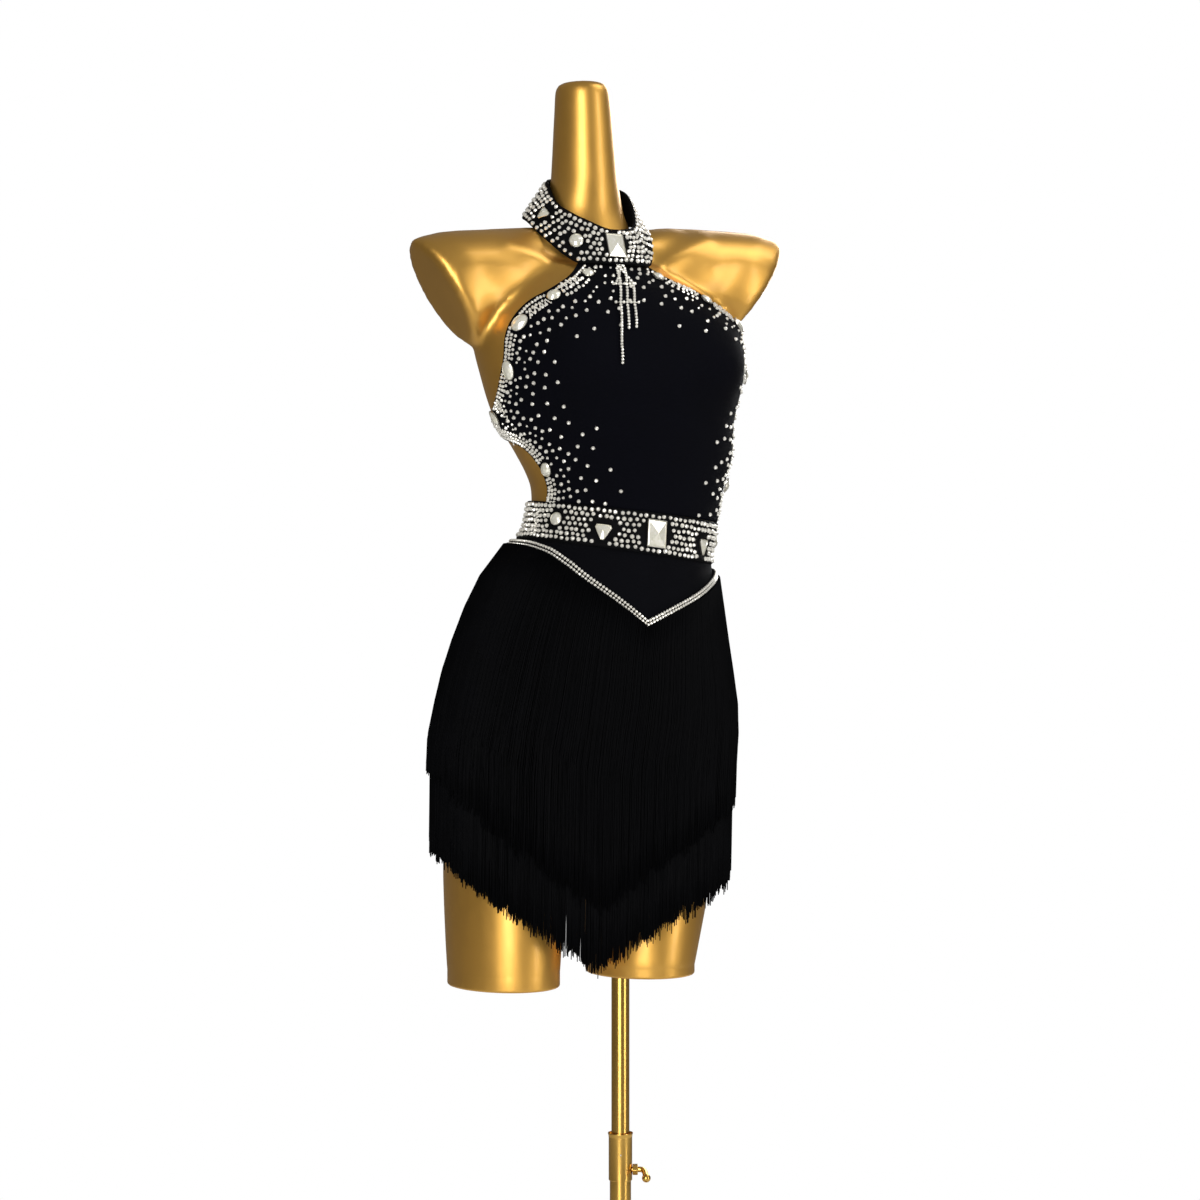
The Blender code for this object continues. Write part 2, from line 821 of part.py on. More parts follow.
def make_screw_hole():
    """The hole through sleeve and outer tube for the clamp screw."""
    work = bmesh.new()
    bmesh.ops.create_cone(
        work,
        cap_ends=True,
        segments=16,
        radius1=(SCREW_RADIUS + SEAM) * MM,
        radius2=(SCREW_RADIUS + SEAM) * MM,
        depth=24 * MM,
        matrix=Matrix.Translation((0, 0, 15 * MM)),
    )
    bmesh.ops.transform(work, verts=work.verts, matrix=screw_matrix())
    mesh = bpy.data.meshes.new("screw_hole")
    work.to_mesh(mesh)
    work.free()
    return new_cutter("screw_hole", mesh)


def make_nut():
    """The hexagonal boss fixed to the sleeve, which the clamp screw turns in."""
    start = SLEEVE_RADIUS + SEAM
    work = bmesh.new()
    bmesh.ops.create_cone(
        work,
        cap_ends=True,
        segments=6,
        radius1=NUT_RADIUS * MM,
        radius2=NUT_RADIUS * MM,
        depth=NUT_LENGTH * MM,
        matrix=Matrix.Translation((0, 0, (start + NUT_LENGTH / 2) * MM)),
    )
    bmesh.ops.transform(work, verts=work.verts, matrix=screw_matrix())
    mesh = bpy.data.meshes.new("clamp_nut")
    work.to_mesh(mesh)
    work.free()
    return new_object("clamp_nut", mesh, brass())


def make_thumb_screw():
    """The bent clamp screw with a ball end, with its origin on its own axis."""
    frame = screw_matrix()
    tip = INNER_RADIUS + SEAM
    shank_end = SLEEVE_RADIUS + NUT_LENGTH + 8
    route = ((0, 0, tip), (0, 0, shank_end - 3), (-1, 2, shank_end - 0.6), (-6, 16, shank_end + 1))
    curve = bpy.data.curves.new("thumb_screw", "CURVE")
    curve.dimensions = "3D"
    curve.bevel_depth = SCREW_RADIUS * 0.95 * MM
    curve.bevel_resolution = 2
    curve.use_fill_caps = True
    spline = curve.splines.new("POLY")
    spline.points.add(len(route) - 1)
    for point, spot in zip(spline.points, route):
        point.co = (*[value * MM for value in spot], 1.0)
    guide = bpy.data.objects.new("thumb_screw_guide", curve)
    bpy.data.collections[CUTTERS].objects.link(guide)
    bpy.context.view_layer.update()
    depsgraph = bpy.context.evaluated_depsgraph_get()
    mesh = bpy.data.meshes.new_from_object(guide.evaluated_get(depsgraph))
    bpy.data.objects.remove(guide, do_unlink=True)
    work = bmesh.new()
    work.from_mesh(mesh)
    bmesh.ops.remove_doubles(work, verts=work.verts, dist=0.00001)
    work.to_mesh(mesh)
    work.free()
    mesh.materials.clear()
    screw = new_object("thumb_screw", mesh, brass())
    screw.matrix_world = frame

    ball = bmesh.new()
    bmesh.ops.create_uvsphere(ball, u_segments=14, v_segments=8, radius=4.3 * MM)
    bmesh.ops.translate(ball, verts=ball.verts, vec=[value * MM for value in route[-1]])
    bmesh.ops.transform(ball, verts=ball.verts, matrix=frame)
    ball_mesh = bpy.data.meshes.new("ball")
    ball.to_mesh(ball_mesh)
    ball.free()
    boolean(screw, new_cutter("ball", ball_mesh), "UNION")


def make_stand():
    """Base, hub, outer tube, clamp sleeve and the sliding inner tube."""
    base = turned(
        "stand_base",
        (
            (0, BASE_THICKNESS),
            (BASE_RADIUS - 2, BASE_THICKNESS),
            (BASE_RADIUS, BASE_THICKNESS - 2),
            (BASE_RADIUS, 0),
            (0, 0),
        ),
        brass(),
        48,
    )
    hub_bottom = BASE_THICKNESS + SEAM
    hub_bore = OUTER_RADIUS + SEAM
    turned(
        "stand_hub",
        (
            (hub_bore, hub_bottom + HUB_HEIGHT),
            (HUB_RADIUS - 6, hub_bottom + HUB_HEIGHT),
            (HUB_RADIUS, hub_bottom + HUB_HEIGHT - 8),
            (HUB_RADIUS, hub_bottom),
            (hub_bore, hub_bottom),
        ),
        brass(),
    )
    outer = tube(
        "stand_outer_tube", OUTER_BORE, OUTER_RADIUS, hub_bottom, SLEEVE_TOP - LIP, brass()
    )
    sleeve = tube(
        "stand_sleeve",
        OUTER_RADIUS + SEAM,
        SLEEVE_RADIUS,
        SLEEVE_TOP - SLEEVE_LENGTH,
        SLEEVE_TOP,
        brass(),
    )
    hole = make_screw_hole()
    for piece in (outer, sleeve, make_nut()):
        boolean(piece, hole, "DIFFERENCE")
    tube(
        "stand_inner_tube",
        INNER_RADIUS - INNER_WALL,
        INNER_RADIUS,
        INNER_BOTTOM,
        SOCKET_TOP,
        brass(),
    )
    make_thumb_screw()
    return base


def main():
    clear_scene()
    start_collection(COLLECTION)
    start_collection(CUTTERS)
    make_form()
    make_bodice()
    make_collar()
    make_back_strap()
    make_belt()
    make_skirt_base()
    make_fringe()
    make_hip_chain()
    make_stones()
    make_pendant()
    make_stand()


main()
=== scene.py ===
"""Fringed halter dance dress on its torso form: the finished look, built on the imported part.

The file is laid out as an add-on. Every piece of cloth, fringe, stone and metal has its own
operator, and the sidebar panel lists them in the order in which they are made. The tables hold
millimetres from the form's spine line and the floor, and angles in degrees round the body from
the middle of the front, positive towards the wearer's left.
"""

import math

import bmesh
import bpy
import numpy as np
from bpy.props import FloatProperty, FloatVectorProperty, IntProperty, PointerProperty
from mathutils import Matrix, Vector


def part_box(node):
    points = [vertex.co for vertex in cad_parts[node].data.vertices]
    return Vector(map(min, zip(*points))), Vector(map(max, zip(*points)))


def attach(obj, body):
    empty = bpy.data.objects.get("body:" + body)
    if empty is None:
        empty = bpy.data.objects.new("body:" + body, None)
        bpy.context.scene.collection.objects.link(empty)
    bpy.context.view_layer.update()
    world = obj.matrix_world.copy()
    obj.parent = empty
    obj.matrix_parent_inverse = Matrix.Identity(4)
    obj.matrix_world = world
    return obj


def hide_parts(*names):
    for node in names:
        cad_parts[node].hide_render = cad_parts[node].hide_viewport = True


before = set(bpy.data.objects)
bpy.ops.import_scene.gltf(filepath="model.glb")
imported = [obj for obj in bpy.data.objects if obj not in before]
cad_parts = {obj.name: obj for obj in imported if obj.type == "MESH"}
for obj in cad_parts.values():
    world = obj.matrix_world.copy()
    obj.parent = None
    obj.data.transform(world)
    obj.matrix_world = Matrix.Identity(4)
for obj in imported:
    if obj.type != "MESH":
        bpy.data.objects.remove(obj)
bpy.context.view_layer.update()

bl_info = {
    "name": "Fringed halter dance dress",
    "version": (1, 0, 0),
    "blender": (4, 5, 0),
    "location": "View3D > Sidebar > Dress",
    "description": "Builds a stone-set fringed dance dress on a torso dress form",
    "category": "Object",
}

# Millimetres in metres, and how far the pole stands to the left of the spine line.
MM = 0.001
POLE_FROM_SPINE = 23.2
POLE_LOW, POLE_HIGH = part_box("stand_inner_tube")
POLE_X = (POLE_LOW[0] + POLE_HIGH[0]) / 2
SPINE = Vector((POLE_X - POLE_FROM_SPINE * MM, 0.0, 0.0))

# Walls and gaps: the form to the cloth, each cloth's wall, and where the two fringes hang.
CLEAR = 2.0
CREPE = 1.3
BODICE_WALL = CREPE - 0.3
BAND = 2.4
KNIT = 1.2
LAYER_GAP = 1.4
STRAND_DEPTH = 2.4
ON_KNIT = CLEAR + KNIT + LAYER_GAP
ON_FRINGE = ON_KNIT + STRAND_DEPTH + LAYER_GAP


# --- the figure's tables ----------------------------------------------------------------


class Table:
    """Rows of named columns, read between the rows by a smooth curve that never overshoots."""

    def __init__(self, names, rows):
        self.names = names.split()
        self.columns = [np.array(column, dtype=float) for column in zip(*rows)]
        self.keys = self.columns[0]
        self.slopes = [self._slopes(column) for column in self.columns]

    def _slopes(self, values):
        """Tangents at the rows: the harmonic mean of the slopes beside each, or flat at a turn."""
        steps = np.diff(values) / np.diff(self.keys)
        slopes = np.zeros(len(values))
        slopes[0] = steps[0]
        slopes[-1] = steps[-1]
        for i in range(1, len(values) - 1):
            before, after = steps[i - 1], steps[i]
            if before * after > 0:
                slopes[i] = 2 * before * after / (before + after)
        return slopes

    def at(self, key):
        """Every column's values at an array of keys, by name."""
        key = np.clip(np.asarray(key, dtype=float), self.keys[0], self.keys[-1])
        i = np.clip(np.searchsorted(self.keys, key, side="right") - 1, 0, len(self.keys) - 2)
        span = self.keys[i + 1] - self.keys[i]
        t = (key - self.keys[i]) / span
        start = (1 + 2 * t) * (1 - t) ** 2
        leave = t * (1 - t) ** 2 * span
        end = t * t * (3 - 2 * t)
        arrive = t * t * (t - 1) * span
        return {
            name: start * v[i] + leave * m[i] + end * v[i + 1] + arrive * m[i + 1]
            for name, v, m in zip(self.names, self.columns, self.slopes)
        }


TRUNK = Table(
    "height x y tilt nod width front back square",
    (
        (812, -24, 2, 3, 0, 62, 52, 60, 2.5),
        (822, -23, 2, 3.4, 0, 108, 74, 84, 2.5),
        (842, -20, 3, 4, 0, 148, 90, 104, 2.5),
        (880, -17, 4, 4, 0, 155, 98, 118, 2.5),
        (940, -10, 4, 5, 0, 150.5, 104, 121, 2.35),
        (1000, -5, 4, 6, 0, 138.5, 104, 112, 2.15),
        (1060, 4, 2, 6.6, 0, 121.5, 98, 96, 2),
        (1110, 19.5, 0, 6.6, 3, 98.5, 90, 80, 2),
        (1150, 27, 0, 5, 3, 102, 86, 78, 2),
        (1200, 23, 0, 2, 0, 120.5, 94, 88, 2),
        (1240, 14, 2, 0, 0, 134, 103, 94, 2),
        (1280, 13, 4, -1, 0, 145, 112, 96, 2),
        (1320, 10, 8, -2, 0, 151, 106, 92, 2),
        (1360, 2, 12, -1, 0, 128, 86, 86, 2),
        (1385, -5, 14, 0, 0, 94, 61, 74, 2),
        (1400, -8, 16, 0, 0, 72, 49, 62, 2),
        (1425, -10, 17, 0, 0, 54, 43, 47, 2),
        (1450, -11, 17, 0, 0, 42, 39.5, 40, 2),
        (1485, -12, 15, 0, 0, 35, 37, 37, 2),
        (1555, -16, 10, 0, 0, 30, 32, 33, 2),
        (1580, -18, 8, 0, 0, 28, 30, 31, 2),
        (1586, -18, 8, 0, 0, 24, 26, 27, 2),
    ),
)
BUST_HEIGHT = 1286
BUST_ANGLE = 33
BUST_RISE = 13
BUST_REACH = 36
BUST_SPREAD = 17

BODICE = Table(
    "height edge",
    (
        (1136.8, 77),
        (1156, 75),
        (1172, 75),
        (1186, 77),
        (1198, 82),
        (1206, 93),
        (1213, 107),
        (1226, 107),
        (1234, 101),
        (1244, 90),
        (1260, 81),
        (1280, 74.5),
        (1296, 70),
        (1316, 66),
        (1334, 61),
        (1349, 54),
        (1362, 42),
        (1376, 31),
        (1388.6, 25),
    ),
)

COLLAR_MIDDLE = (-8, 12)
COLLAR = Table(
    "angle bottom_reach bottom top_reach top",
    (
        (-180, 59, 1450, 44, 1492),
        (-140, 64, 1450, 42.5, 1488),
        (-100, 69, 1442, 43.5, 1478),
        (-65, 69, 1416, 50, 1453),
        (-50, 66, 1401, 51, 1445),
        (-35, 65, 1392, 51, 1438),
        (0, 63, 1392, 50, 1427),
        (35, 68, 1392, 48, 1431),
        (65, 63, 1425, 46, 1447),
        (100, 58, 1442, 46, 1476),
        (140, 58, 1445, 45, 1487),
        (180, 59, 1450, 44, 1492),
    ),
)
COLLAR_LAP = 6

BELT_BOTTOM = 1094
BELT_TOP = 1136
STRAP_BOTTOM = 1213.5
STRAP_TOP = 1225.5
STRAP_EDGE = 107.3

LINES = Table(
    "angle chain upper_hem lower_hem",
    (
        (0, 1020, 732, 671),
        (12, 1036, 752, 688),
        (27, 1053, 782, 713),
        (45, 1071, 810, 738),
        (60, 1081, 832, 756),
        (80, 1086, 850, 770),
        (110, 1087, 860, 780),
        (180, 1087, 862, 782),
    ),
)
SKIRT_TURN = 13
CHAIN_WIDTH = 7
HEADER_DROP = 62
BASE_SHORTER = 62
FULLEST = 880
TAPER = 0.01
SWAY = 0.02

# Large set stones on belt, bodice and collar: a row for each, as the part has them. A level
# runs from the collar's bottom edge, 0, to its top edge, 1.
SIDES = (("right", -1), ("left", 1))
BELT_SQUARE_ANGLE = -3.6
BAND_GEMS = (
    # name, height, angle, outline, width, length, rise, spin
    ("belt_triangle", 1111, 35, "triangle", 21, 22, 4.2, 180),
    ("belt_round", 1118, 66, "round", 13, 13, 3.6, 0),
    ("chest_top", 1376, 22, "pear", 15, 13, 3.8, -60),
    ("chest_middle", 1353, 41, "pear", 17, 13, 3.8, -35),
    ("arm", 1328, 57, "oval", 19, 14, 3.8, -45),
    ("side", 1281, 69, "oval", 13, 19, 3.8, -8),
    ("wing", 1233, 92, "pear", 14, 18, 3.8, -20),
    ("cut", 1174, 70, "pear", 14, 17, 3.8, 20),
)
COLLAR_GEMS = (
    # name, angle, level, outline, width, length, rise, spin
    ("collar_square", 0, 0.52, "square", 19, 25, 5.2, 0),
    ("collar_round", -40, 0.45, "round", 14, 14, 3.8, 0),
    ("collar_triangle", -78, 0.5, "triangle", 17, 17, 4.2, 180),
)
COLLAR_GEM_ROOM = (16, 10.5, 12)
GEM_LIFT = 0.2


def wrapped(angle):
    """Angles brought into -180 to 180."""
    return (np.asarray(angle, dtype=float) + 180) % 360 - 180


def bust(height, angle):
    """The rise of the bust over the plain section."""
    level = np.exp(-(((height - BUST_HEIGHT) / BUST_REACH) ** 2))
    left = np.exp(-(((angle - BUST_ANGLE) / BUST_SPREAD) ** 2))
    right = np.exp(-(((angle + BUST_ANGLE) / BUST_SPREAD) ** 2))
    return BUST_RISE * level * (left + right)


def trunk_spot(height, angle):
    """Points of the trunk's surface, in millimetres, for arrays of heights and angles."""
    height, angle = np.broadcast_arrays(np.asarray(height, dtype=float), wrapped(angle))
    row = TRUNK.at(height)
    turn = np.radians(angle)
    depth = np.where(np.abs(angle) < 90, row["front"], row["back"])
    power = row["square"]
    grow = (np.abs(np.sin(turn)) ** power + np.abs(np.cos(turn)) ** power) ** (-1 / power)
    grow = grow * (1 + bust(height, angle) / row["front"])
    x = row["width"] * np.sin(turn) * grow
    y = -depth * np.cos(turn) * grow
    tilt = np.radians(row["tilt"])
    nod = np.radians(row["nod"])
    z = row["height"] - x * np.sin(tilt) + y * np.sin(nod)
    return np.stack((row["x"] + x * np.cos(tilt), row["y"] + y, z), axis=-1)


def unit(vectors):
    """Vectors made one long."""
    return vectors / np.maximum(np.linalg.norm(vectors, axis=-1, keepdims=True), 1e-9)


def trunk_point(height, angle, out=0.0):
    """Points that stand out of the trunk's surface by a distance, in millimetres."""
    around = trunk_spot(height, angle + 1) - trunk_spot(height, angle - 1)
    upward = trunk_spot(height + 2, angle) - trunk_spot(height - 2, angle)
    lift = np.asarray(out, dtype=float)
    return trunk_spot(height, angle) + unit(np.cross(around, upward)) * lift[..., None]


def skirt_point(height, angle, out):
    """Points of the skirt: on the trunk to the fullest of the hips, and hanging below that."""
    height = np.asarray(height, dtype=float)
    out = np.broadcast_to(np.asarray(out, dtype=float), height.shape)
    spots = trunk_point(np.maximum(height, FULLEST), angle, out)
    drop = np.maximum(FULLEST - height, 0)
    middle = TRUNK.at(FULLEST)
    draw_in = 1 - TAPER * np.minimum(drop / 160, 1)
    hanging = drop > 0
    x = middle["x"] + (spots[..., 0] - middle["x"]) * draw_in - SWAY * drop
    y = middle["y"] + (spots[..., 1] - middle["y"]) * draw_in
    below = np.stack((x, y, spots[..., 2] - drop), axis=-1)
    return np.where(hanging[..., None], below, spots)


def collar_point(angle, rise, out=0.0):
    """Points of the collar: rise runs from its bottom edge, 0, to its top edge, 1."""
    row = COLLAR.at(wrapped(angle))
    turn = np.radians(angle)
    reach = row["bottom_reach"] + (row["top_reach"] - row["bottom_reach"]) * rise + out
    height = row["bottom"] + (row["top"] - row["bottom"]) * rise
    x = COLLAR_MIDDLE[0] + reach * np.sin(turn)
    y = COLLAR_MIDDLE[1] - reach * np.cos(turn)
    return np.stack(np.broadcast_arrays(x, y, height), axis=-1)


def skirt_line(angle, name):
    """The heights of one of the skirt's lines, the V being turned a little."""
    return LINES.at(np.abs(wrapped(angle + SKIRT_TURN)))[name]


def chain_line(angle):
    """The heights of the hip chain's middle, whose V is on the middle of the front."""
    return LINES.at(np.abs(wrapped(angle)))["chain"]


def placed(points):
    """Table positions in millimetres as scene positions in metres."""
    return np.asarray(points) * MM + np.array(SPINE)


# --- soft folds -------------------------------------------------------------------------

# Creases of the cloth: where each lies, how long and wide it is, how far it stands out, and how
# it turns from level. The front's are listed one by one, and the back has similar ones.
FRONT_FOLDS = (
    # height, angle, length, width, depth, turn
    (1150, -50, 60, 7, 0.9, 12),
    (1158, -20, 70, 8, 0.6, -6),
    (1146, 18, 52, 6, 0.7, 9),
    (1162, 44, 64, 9, 0.9, -14),
    (1190, -58, 58, 8, 0.8, 34),
    (1200, 60, 62, 8, 0.7, -32),
    (1222, -78, 40, 6, 0.7, 58),
    (1228, 80, 42, 6, 0.7, -56),
    (1238, -12, 66, 12, 0.7, 74),
    (1246, 10, 72, 13, 0.6, -78),
    (1330, -30, 60, 9, 0.7, 62),
    (1342, 28, 56, 8, 0.6, -60),
    (1352, -8, 44, 7, 0.5, 82),
)
PANEL_FOLDS = (
    (1084, -34, 40, 5, 0.7, -16),
    (1076, -14, 52, 6, 0.8, -9),
    (1070, 6, 60, 6, 0.6, 4),
    (1062, -4, 40, 5, 0.6, 14),
    (1080, 22, 46, 5, 0.8, 13),
    (1046, 2, 30, 5, 0.5, -6),
    (1072, 150, 58, 6, 0.7, 8),
    (1064, -160, 66, 7, 0.8, -7),
)


def folds(height, angle, rows):
    """How far the creases lift the cloth, in millimetres."""
    total = np.zeros(np.shape(height))
    for level, heading, length, width, depth, turn in rows:
        along = np.radians(wrapped(angle - heading)) * 110
        up = height - level
        c, s = math.cos(math.radians(turn)), math.sin(math.radians(turn))
        run = (along * c + up * s) / (length / 2)
        across = (up * c - along * s) / width
        total += depth * np.exp(-(run**2) - across**2)
        total -= 0.45 * depth * np.exp(-(run**2) - (across - 1.6) ** 2)
    return total


# --- mesh helpers -----------------------------------------------------------------------


def new_piece(name, mesh, finish, body, slot, *nodes):
    """An object for a finished mesh, riding on its body and standing for its CAD nodes."""
    piece = bpy.data.objects.new(name, mesh)
    bpy.context.scene.collection.objects.link(piece)
    mesh.materials.append(finish)
    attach(piece, body)
    if nodes:
        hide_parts(*nodes)
    return piece


def to_mesh(work, name):
    """A bmesh as a new mesh."""
    mesh = bpy.data.meshes.new(name)
    work.to_mesh(mesh)
    work.free()
    return mesh


def sheet_mesh(name, columns, rows, where, size, closed=False):
    """A grid laid where a function of across and up, both 0 to 1, says. Size is in metres."""
    work = bmesh.new()
    bmesh.ops.create_grid(work, x_segments=columns, y_segments=rows, size=0.5)
    flat = np.array([vert.co[:2] for vert in work.verts]) + 0.5
    chart = work.loops.layers.uv.new("cloth")
    for face in work.faces:
        for loop in face.loops:
            u, v = loop.vert.co.x + 0.5, loop.vert.co.y + 0.5
            loop[chart].uv = (u * size[0], v * size[1])
    for vert, spot in zip(work.verts, placed(where(flat[:, 0], flat[:, 1]))):
        vert.co = spot
    if closed:
        bmesh.ops.remove_doubles(work, verts=work.verts, dist=0.00002)
    mesh = to_mesh(work, name)
    mesh.shade_smooth()
    return mesh


def thicken(piece, wall):
    """Give a sheet its wall, outwards, in millimetres."""
    solid = piece.modifiers.new("wall", "SOLIDIFY")
    solid.thickness = wall * MM
    solid.offset = 1.0
    solid.use_even_offset = True


def settle(piece):
    """Apply a piece's modifiers."""
    depsgraph = bpy.context.evaluated_depsgraph_get()
    bpy.context.view_layer.update()
    mesh = bpy.data.meshes.new_from_object(piece.evaluated_get(depsgraph))
    piece.modifiers.clear()
    piece.data = mesh


def cord_mesh(name, path, radius, closed=False, sides=8):
    """A round bead of cloth or metal along a path in millimetres, as a mesh."""
    curve = bpy.data.curves.new(name, "CURVE")
    curve.dimensions = "3D"
    curve.bevel_depth = radius * MM
    curve.bevel_resolution = sides // 4
    curve.use_fill_caps = True
    spline = curve.splines.new("POLY")
    spline.points.add(len(path) - 1)
    spline.use_cyclic_u = closed
    for point, spot in zip(spline.points, placed(path)):
        point.co = (*spot, 1.0)
    holder = bpy.data.objects.new(name, curve)
    bpy.context.scene.collection.objects.link(holder)
    bpy.context.view_layer.update()
    mesh = bpy.data.meshes.new_from_object(holder)
    bpy.data.objects.remove(holder, do_unlink=True)
    bpy.data.curves.remove(curve)
    mesh.name = name
    mesh.shade_smooth()
    return mesh


def joined(meshes, name):
    """Several meshes as one."""
    work = bmesh.new()
    for mesh in meshes:
        work.from_mesh(mesh)
        bpy.data.meshes.remove(mesh)
    return to_mesh(work, name)


def template(sides, table=0.56, girdle=0.34):
    """One small stone of radius 1 and height 1: a short girdle and a cut crown."""
    work = bmesh.new()
    bmesh.ops.create_cone(
        work, cap_ends=True, segments=sides, radius1=1.0, radius2=1.0, depth=girdle
    )
    bmesh.ops.translate(work, verts=work.verts, vec=(0, 0, girdle / 2))
    top = max(work.faces, key=lambda face: face.calc_center_median().z)
    crown = bmesh.ops.extrude_face_region(work, geom=[top])["geom"]
    verts = [item for item in crown if isinstance(item, bmesh.types.BMVert)]
    bmesh.ops.delete(work, geom=[top], context="FACES_ONLY")
    bmesh.ops.scale(work, verts=verts, vec=(table, table, 1))
    bmesh.ops.translate(work, verts=verts, vec=(0, 0, 1 - girdle))
    bmesh.ops.recalc_face_normals(work, faces=work.faces)
    bmesh.ops.triangulate(work, faces=work.faces)
    spots = np.array([vert.co[:] for vert in work.verts])
    faces = np.array([[vert.index for vert in face.verts] for face in work.faces])
    work.free()
    return spots, faces


def arrayed(name, shape, origins, across, outward, sizes):
    """One joined mesh of a small shape at many places. Sizes are radius and height, in mm."""
    spots, faces = shape
    outward = unit(outward)
    across = unit(across - outward * np.sum(across * outward, axis=-1, keepdims=True))
    upward = np.cross(outward, across)
    sizes = np.asarray(sizes, dtype=float)
    wide = spots[None, :, 0, None] * across[:, None, :] + spots[None, :, 1, None] * upward[:, None, :]
    tall = spots[None, :, 2, None] * outward[:, None, :]
    points = origins[:, None, :] + wide * sizes[:, None, 0:1] + tall * sizes[:, None, 1:2]
    points = placed(points.reshape(-1, 3))
    shift = np.arange(len(origins))[:, None, None] * len(spots)
    index = (faces[None, :, :] + shift).reshape(-1, 3)
    mesh = bpy.data.meshes.new(name)
    mesh.from_pydata(points.tolist(), [], index.tolist())
    mesh.update()
    return mesh


def same_size(count, radius, height):
    """The sizes of many stones that are all alike."""
    return np.tile((radius, height), (count, 1))


def surface_axes(point, height, angle, step=1.0):
    """The direction round and the direction out, at places on a surface of height and angle."""
    around = point(height, angle + step) - point(height, angle - step)
    upward = point(height + step, angle) - point(height - step, angle)
    return unit(around), unit(np.cross(around, upward))


def tipped(outward, chance, amount):
    """Directions each turned a little at random, so that the stones catch the light unevenly."""
    return unit(outward + chance.normal(0, amount, outward.shape))


# --- finishes ---------------------------------------------------------------------------


def new_group(name, inputs, outputs):
    """An empty shader node group with its sockets."""
    group = bpy.data.node_groups.new(name, "ShaderNodeTree")
    for label, kind, value in inputs:
        socket = group.interface.new_socket(name=label, in_out="INPUT", socket_type=kind)
        socket.default_value = value
    for label, kind in outputs:
        group.interface.new_socket(name=label, in_out="OUTPUT", socket_type=kind)
    return group, group.nodes.new("NodeGroupInput"), group.nodes.new("NodeGroupOutput")


def math_node(tree, operation, first, second=None):
    """A Math node, with sockets linked and numbers set."""
    node = tree.nodes.new("ShaderNodeMath")
    node.operation = operation
    for i, value in enumerate((first, second)):
        if value is None:
            continue
        if isinstance(value, (int, float)):
            node.inputs[i].default_value = value
        else:
            tree.links.new(value, node.inputs[i])
    return node.outputs[0]


def noise_node(tree, vector, scale, detail=3.0):
    """A Noise texture's value."""
    node = tree.nodes.new("ShaderNodeTexNoise")
    node.inputs["Scale"].default_value = scale
    node.inputs["Detail"].default_value = detail
    tree.links.new(vector, node.inputs["Vector"])
    return node.outputs["Fac"]


def mix_node(tree, factor, first, second):
    """A colour between two, by a factor."""
    node = tree.nodes.new("ShaderNodeMix")
    node.data_type = "RGBA"
    tree.links.new(factor, node.inputs["Factor"])
    for socket, value in ((node.inputs["A"], first), (node.inputs["B"], second)):
        if hasattr(value, "default_value"):
            tree.links.new(value, socket)
        else:
            socket.default_value = (*value, 1.0)
    return node.outputs["Result"]


def range_node(tree, value, low, high):
    """A value from 0 to 1 spread between two others."""
    node = tree.nodes.new("ShaderNodeMapRange")
    node.inputs["To Min"].default_value = low
    node.inputs["To Max"].default_value = high
    tree.links.new(value, node.inputs["Value"])
    return node.outputs["Result"]


def weave_group():
    """Crossing threads on a chart in metres: height for the bump and shade for the colour."""
    found = bpy.data.node_groups.get("Woven threads")
    if found:
        return found
    group, start, end = new_group(
        "Woven threads",
        (
            ("Chart", "NodeSocketVector", (0, 0, 0)),
            ("Across", "NodeSocketFloat", 9000.0),
            ("Along", "NodeSocketFloat", 9000.0),
            ("Fuzz", "NodeSocketFloat", 0.4),
        ),
        (("Height", "NodeSocketFloat"), ("Shade", "NodeSocketFloat")),
    )
    split = group.nodes.new("ShaderNodeSeparateXYZ")
    group.links.new(start.outputs["Chart"], split.inputs[0])
    turns = []
    for way, label in enumerate(("Across", "Along")):
        run = math_node(group, "MULTIPLY", split.outputs[way], start.outputs[label])
        turns.append(math_node(group, "SINE", run))
    cross = math_node(group, "MULTIPLY", *turns)
    hairs = noise_node(group, start.outputs["Chart"], 1400, 2.0)
    cloud = noise_node(group, start.outputs["Chart"], 26, 4.0)
    fuzz = math_node(group, "MULTIPLY", hairs, start.outputs["Fuzz"])
    height = math_node(group, "ADD", cross, fuzz)
    group.links.new(height, end.inputs["Height"])
    group.links.new(cloud, end.inputs["Shade"])
    return group


def film_group():
    """A sprayed film: a faint mottling, an orange-peel height and a few rubbed places."""
    found = bpy.data.node_groups.get("Sprayed film")
    if found:
        return found
    group, start, end = new_group(
        "Sprayed film",
        (
            ("Position", "NodeSocketVector", (0, 0, 0)),
            ("Mottle", "NodeSocketFloat", 1.0),
        ),
        (("Height", "NodeSocketFloat"), ("Shade", "NodeSocketFloat"), ("Rub", "NodeSocketFloat")),
    )
    peel = noise_node(group, start.outputs["Position"], 210, 1.5)
    broad = noise_node(group, start.outputs["Position"], 9, 3.0)
    fine = noise_node(group, start.outputs["Position"], 60, 5.0)
    shade = math_node(group, "MULTIPLY", broad, start.outputs["Mottle"])
    group.links.new(peel, end.inputs["Height"])
    group.links.new(shade, end.inputs["Shade"])
    group.links.new(math_node(group, "MULTIPLY", fine, broad), end.inputs["Rub"])
    return group


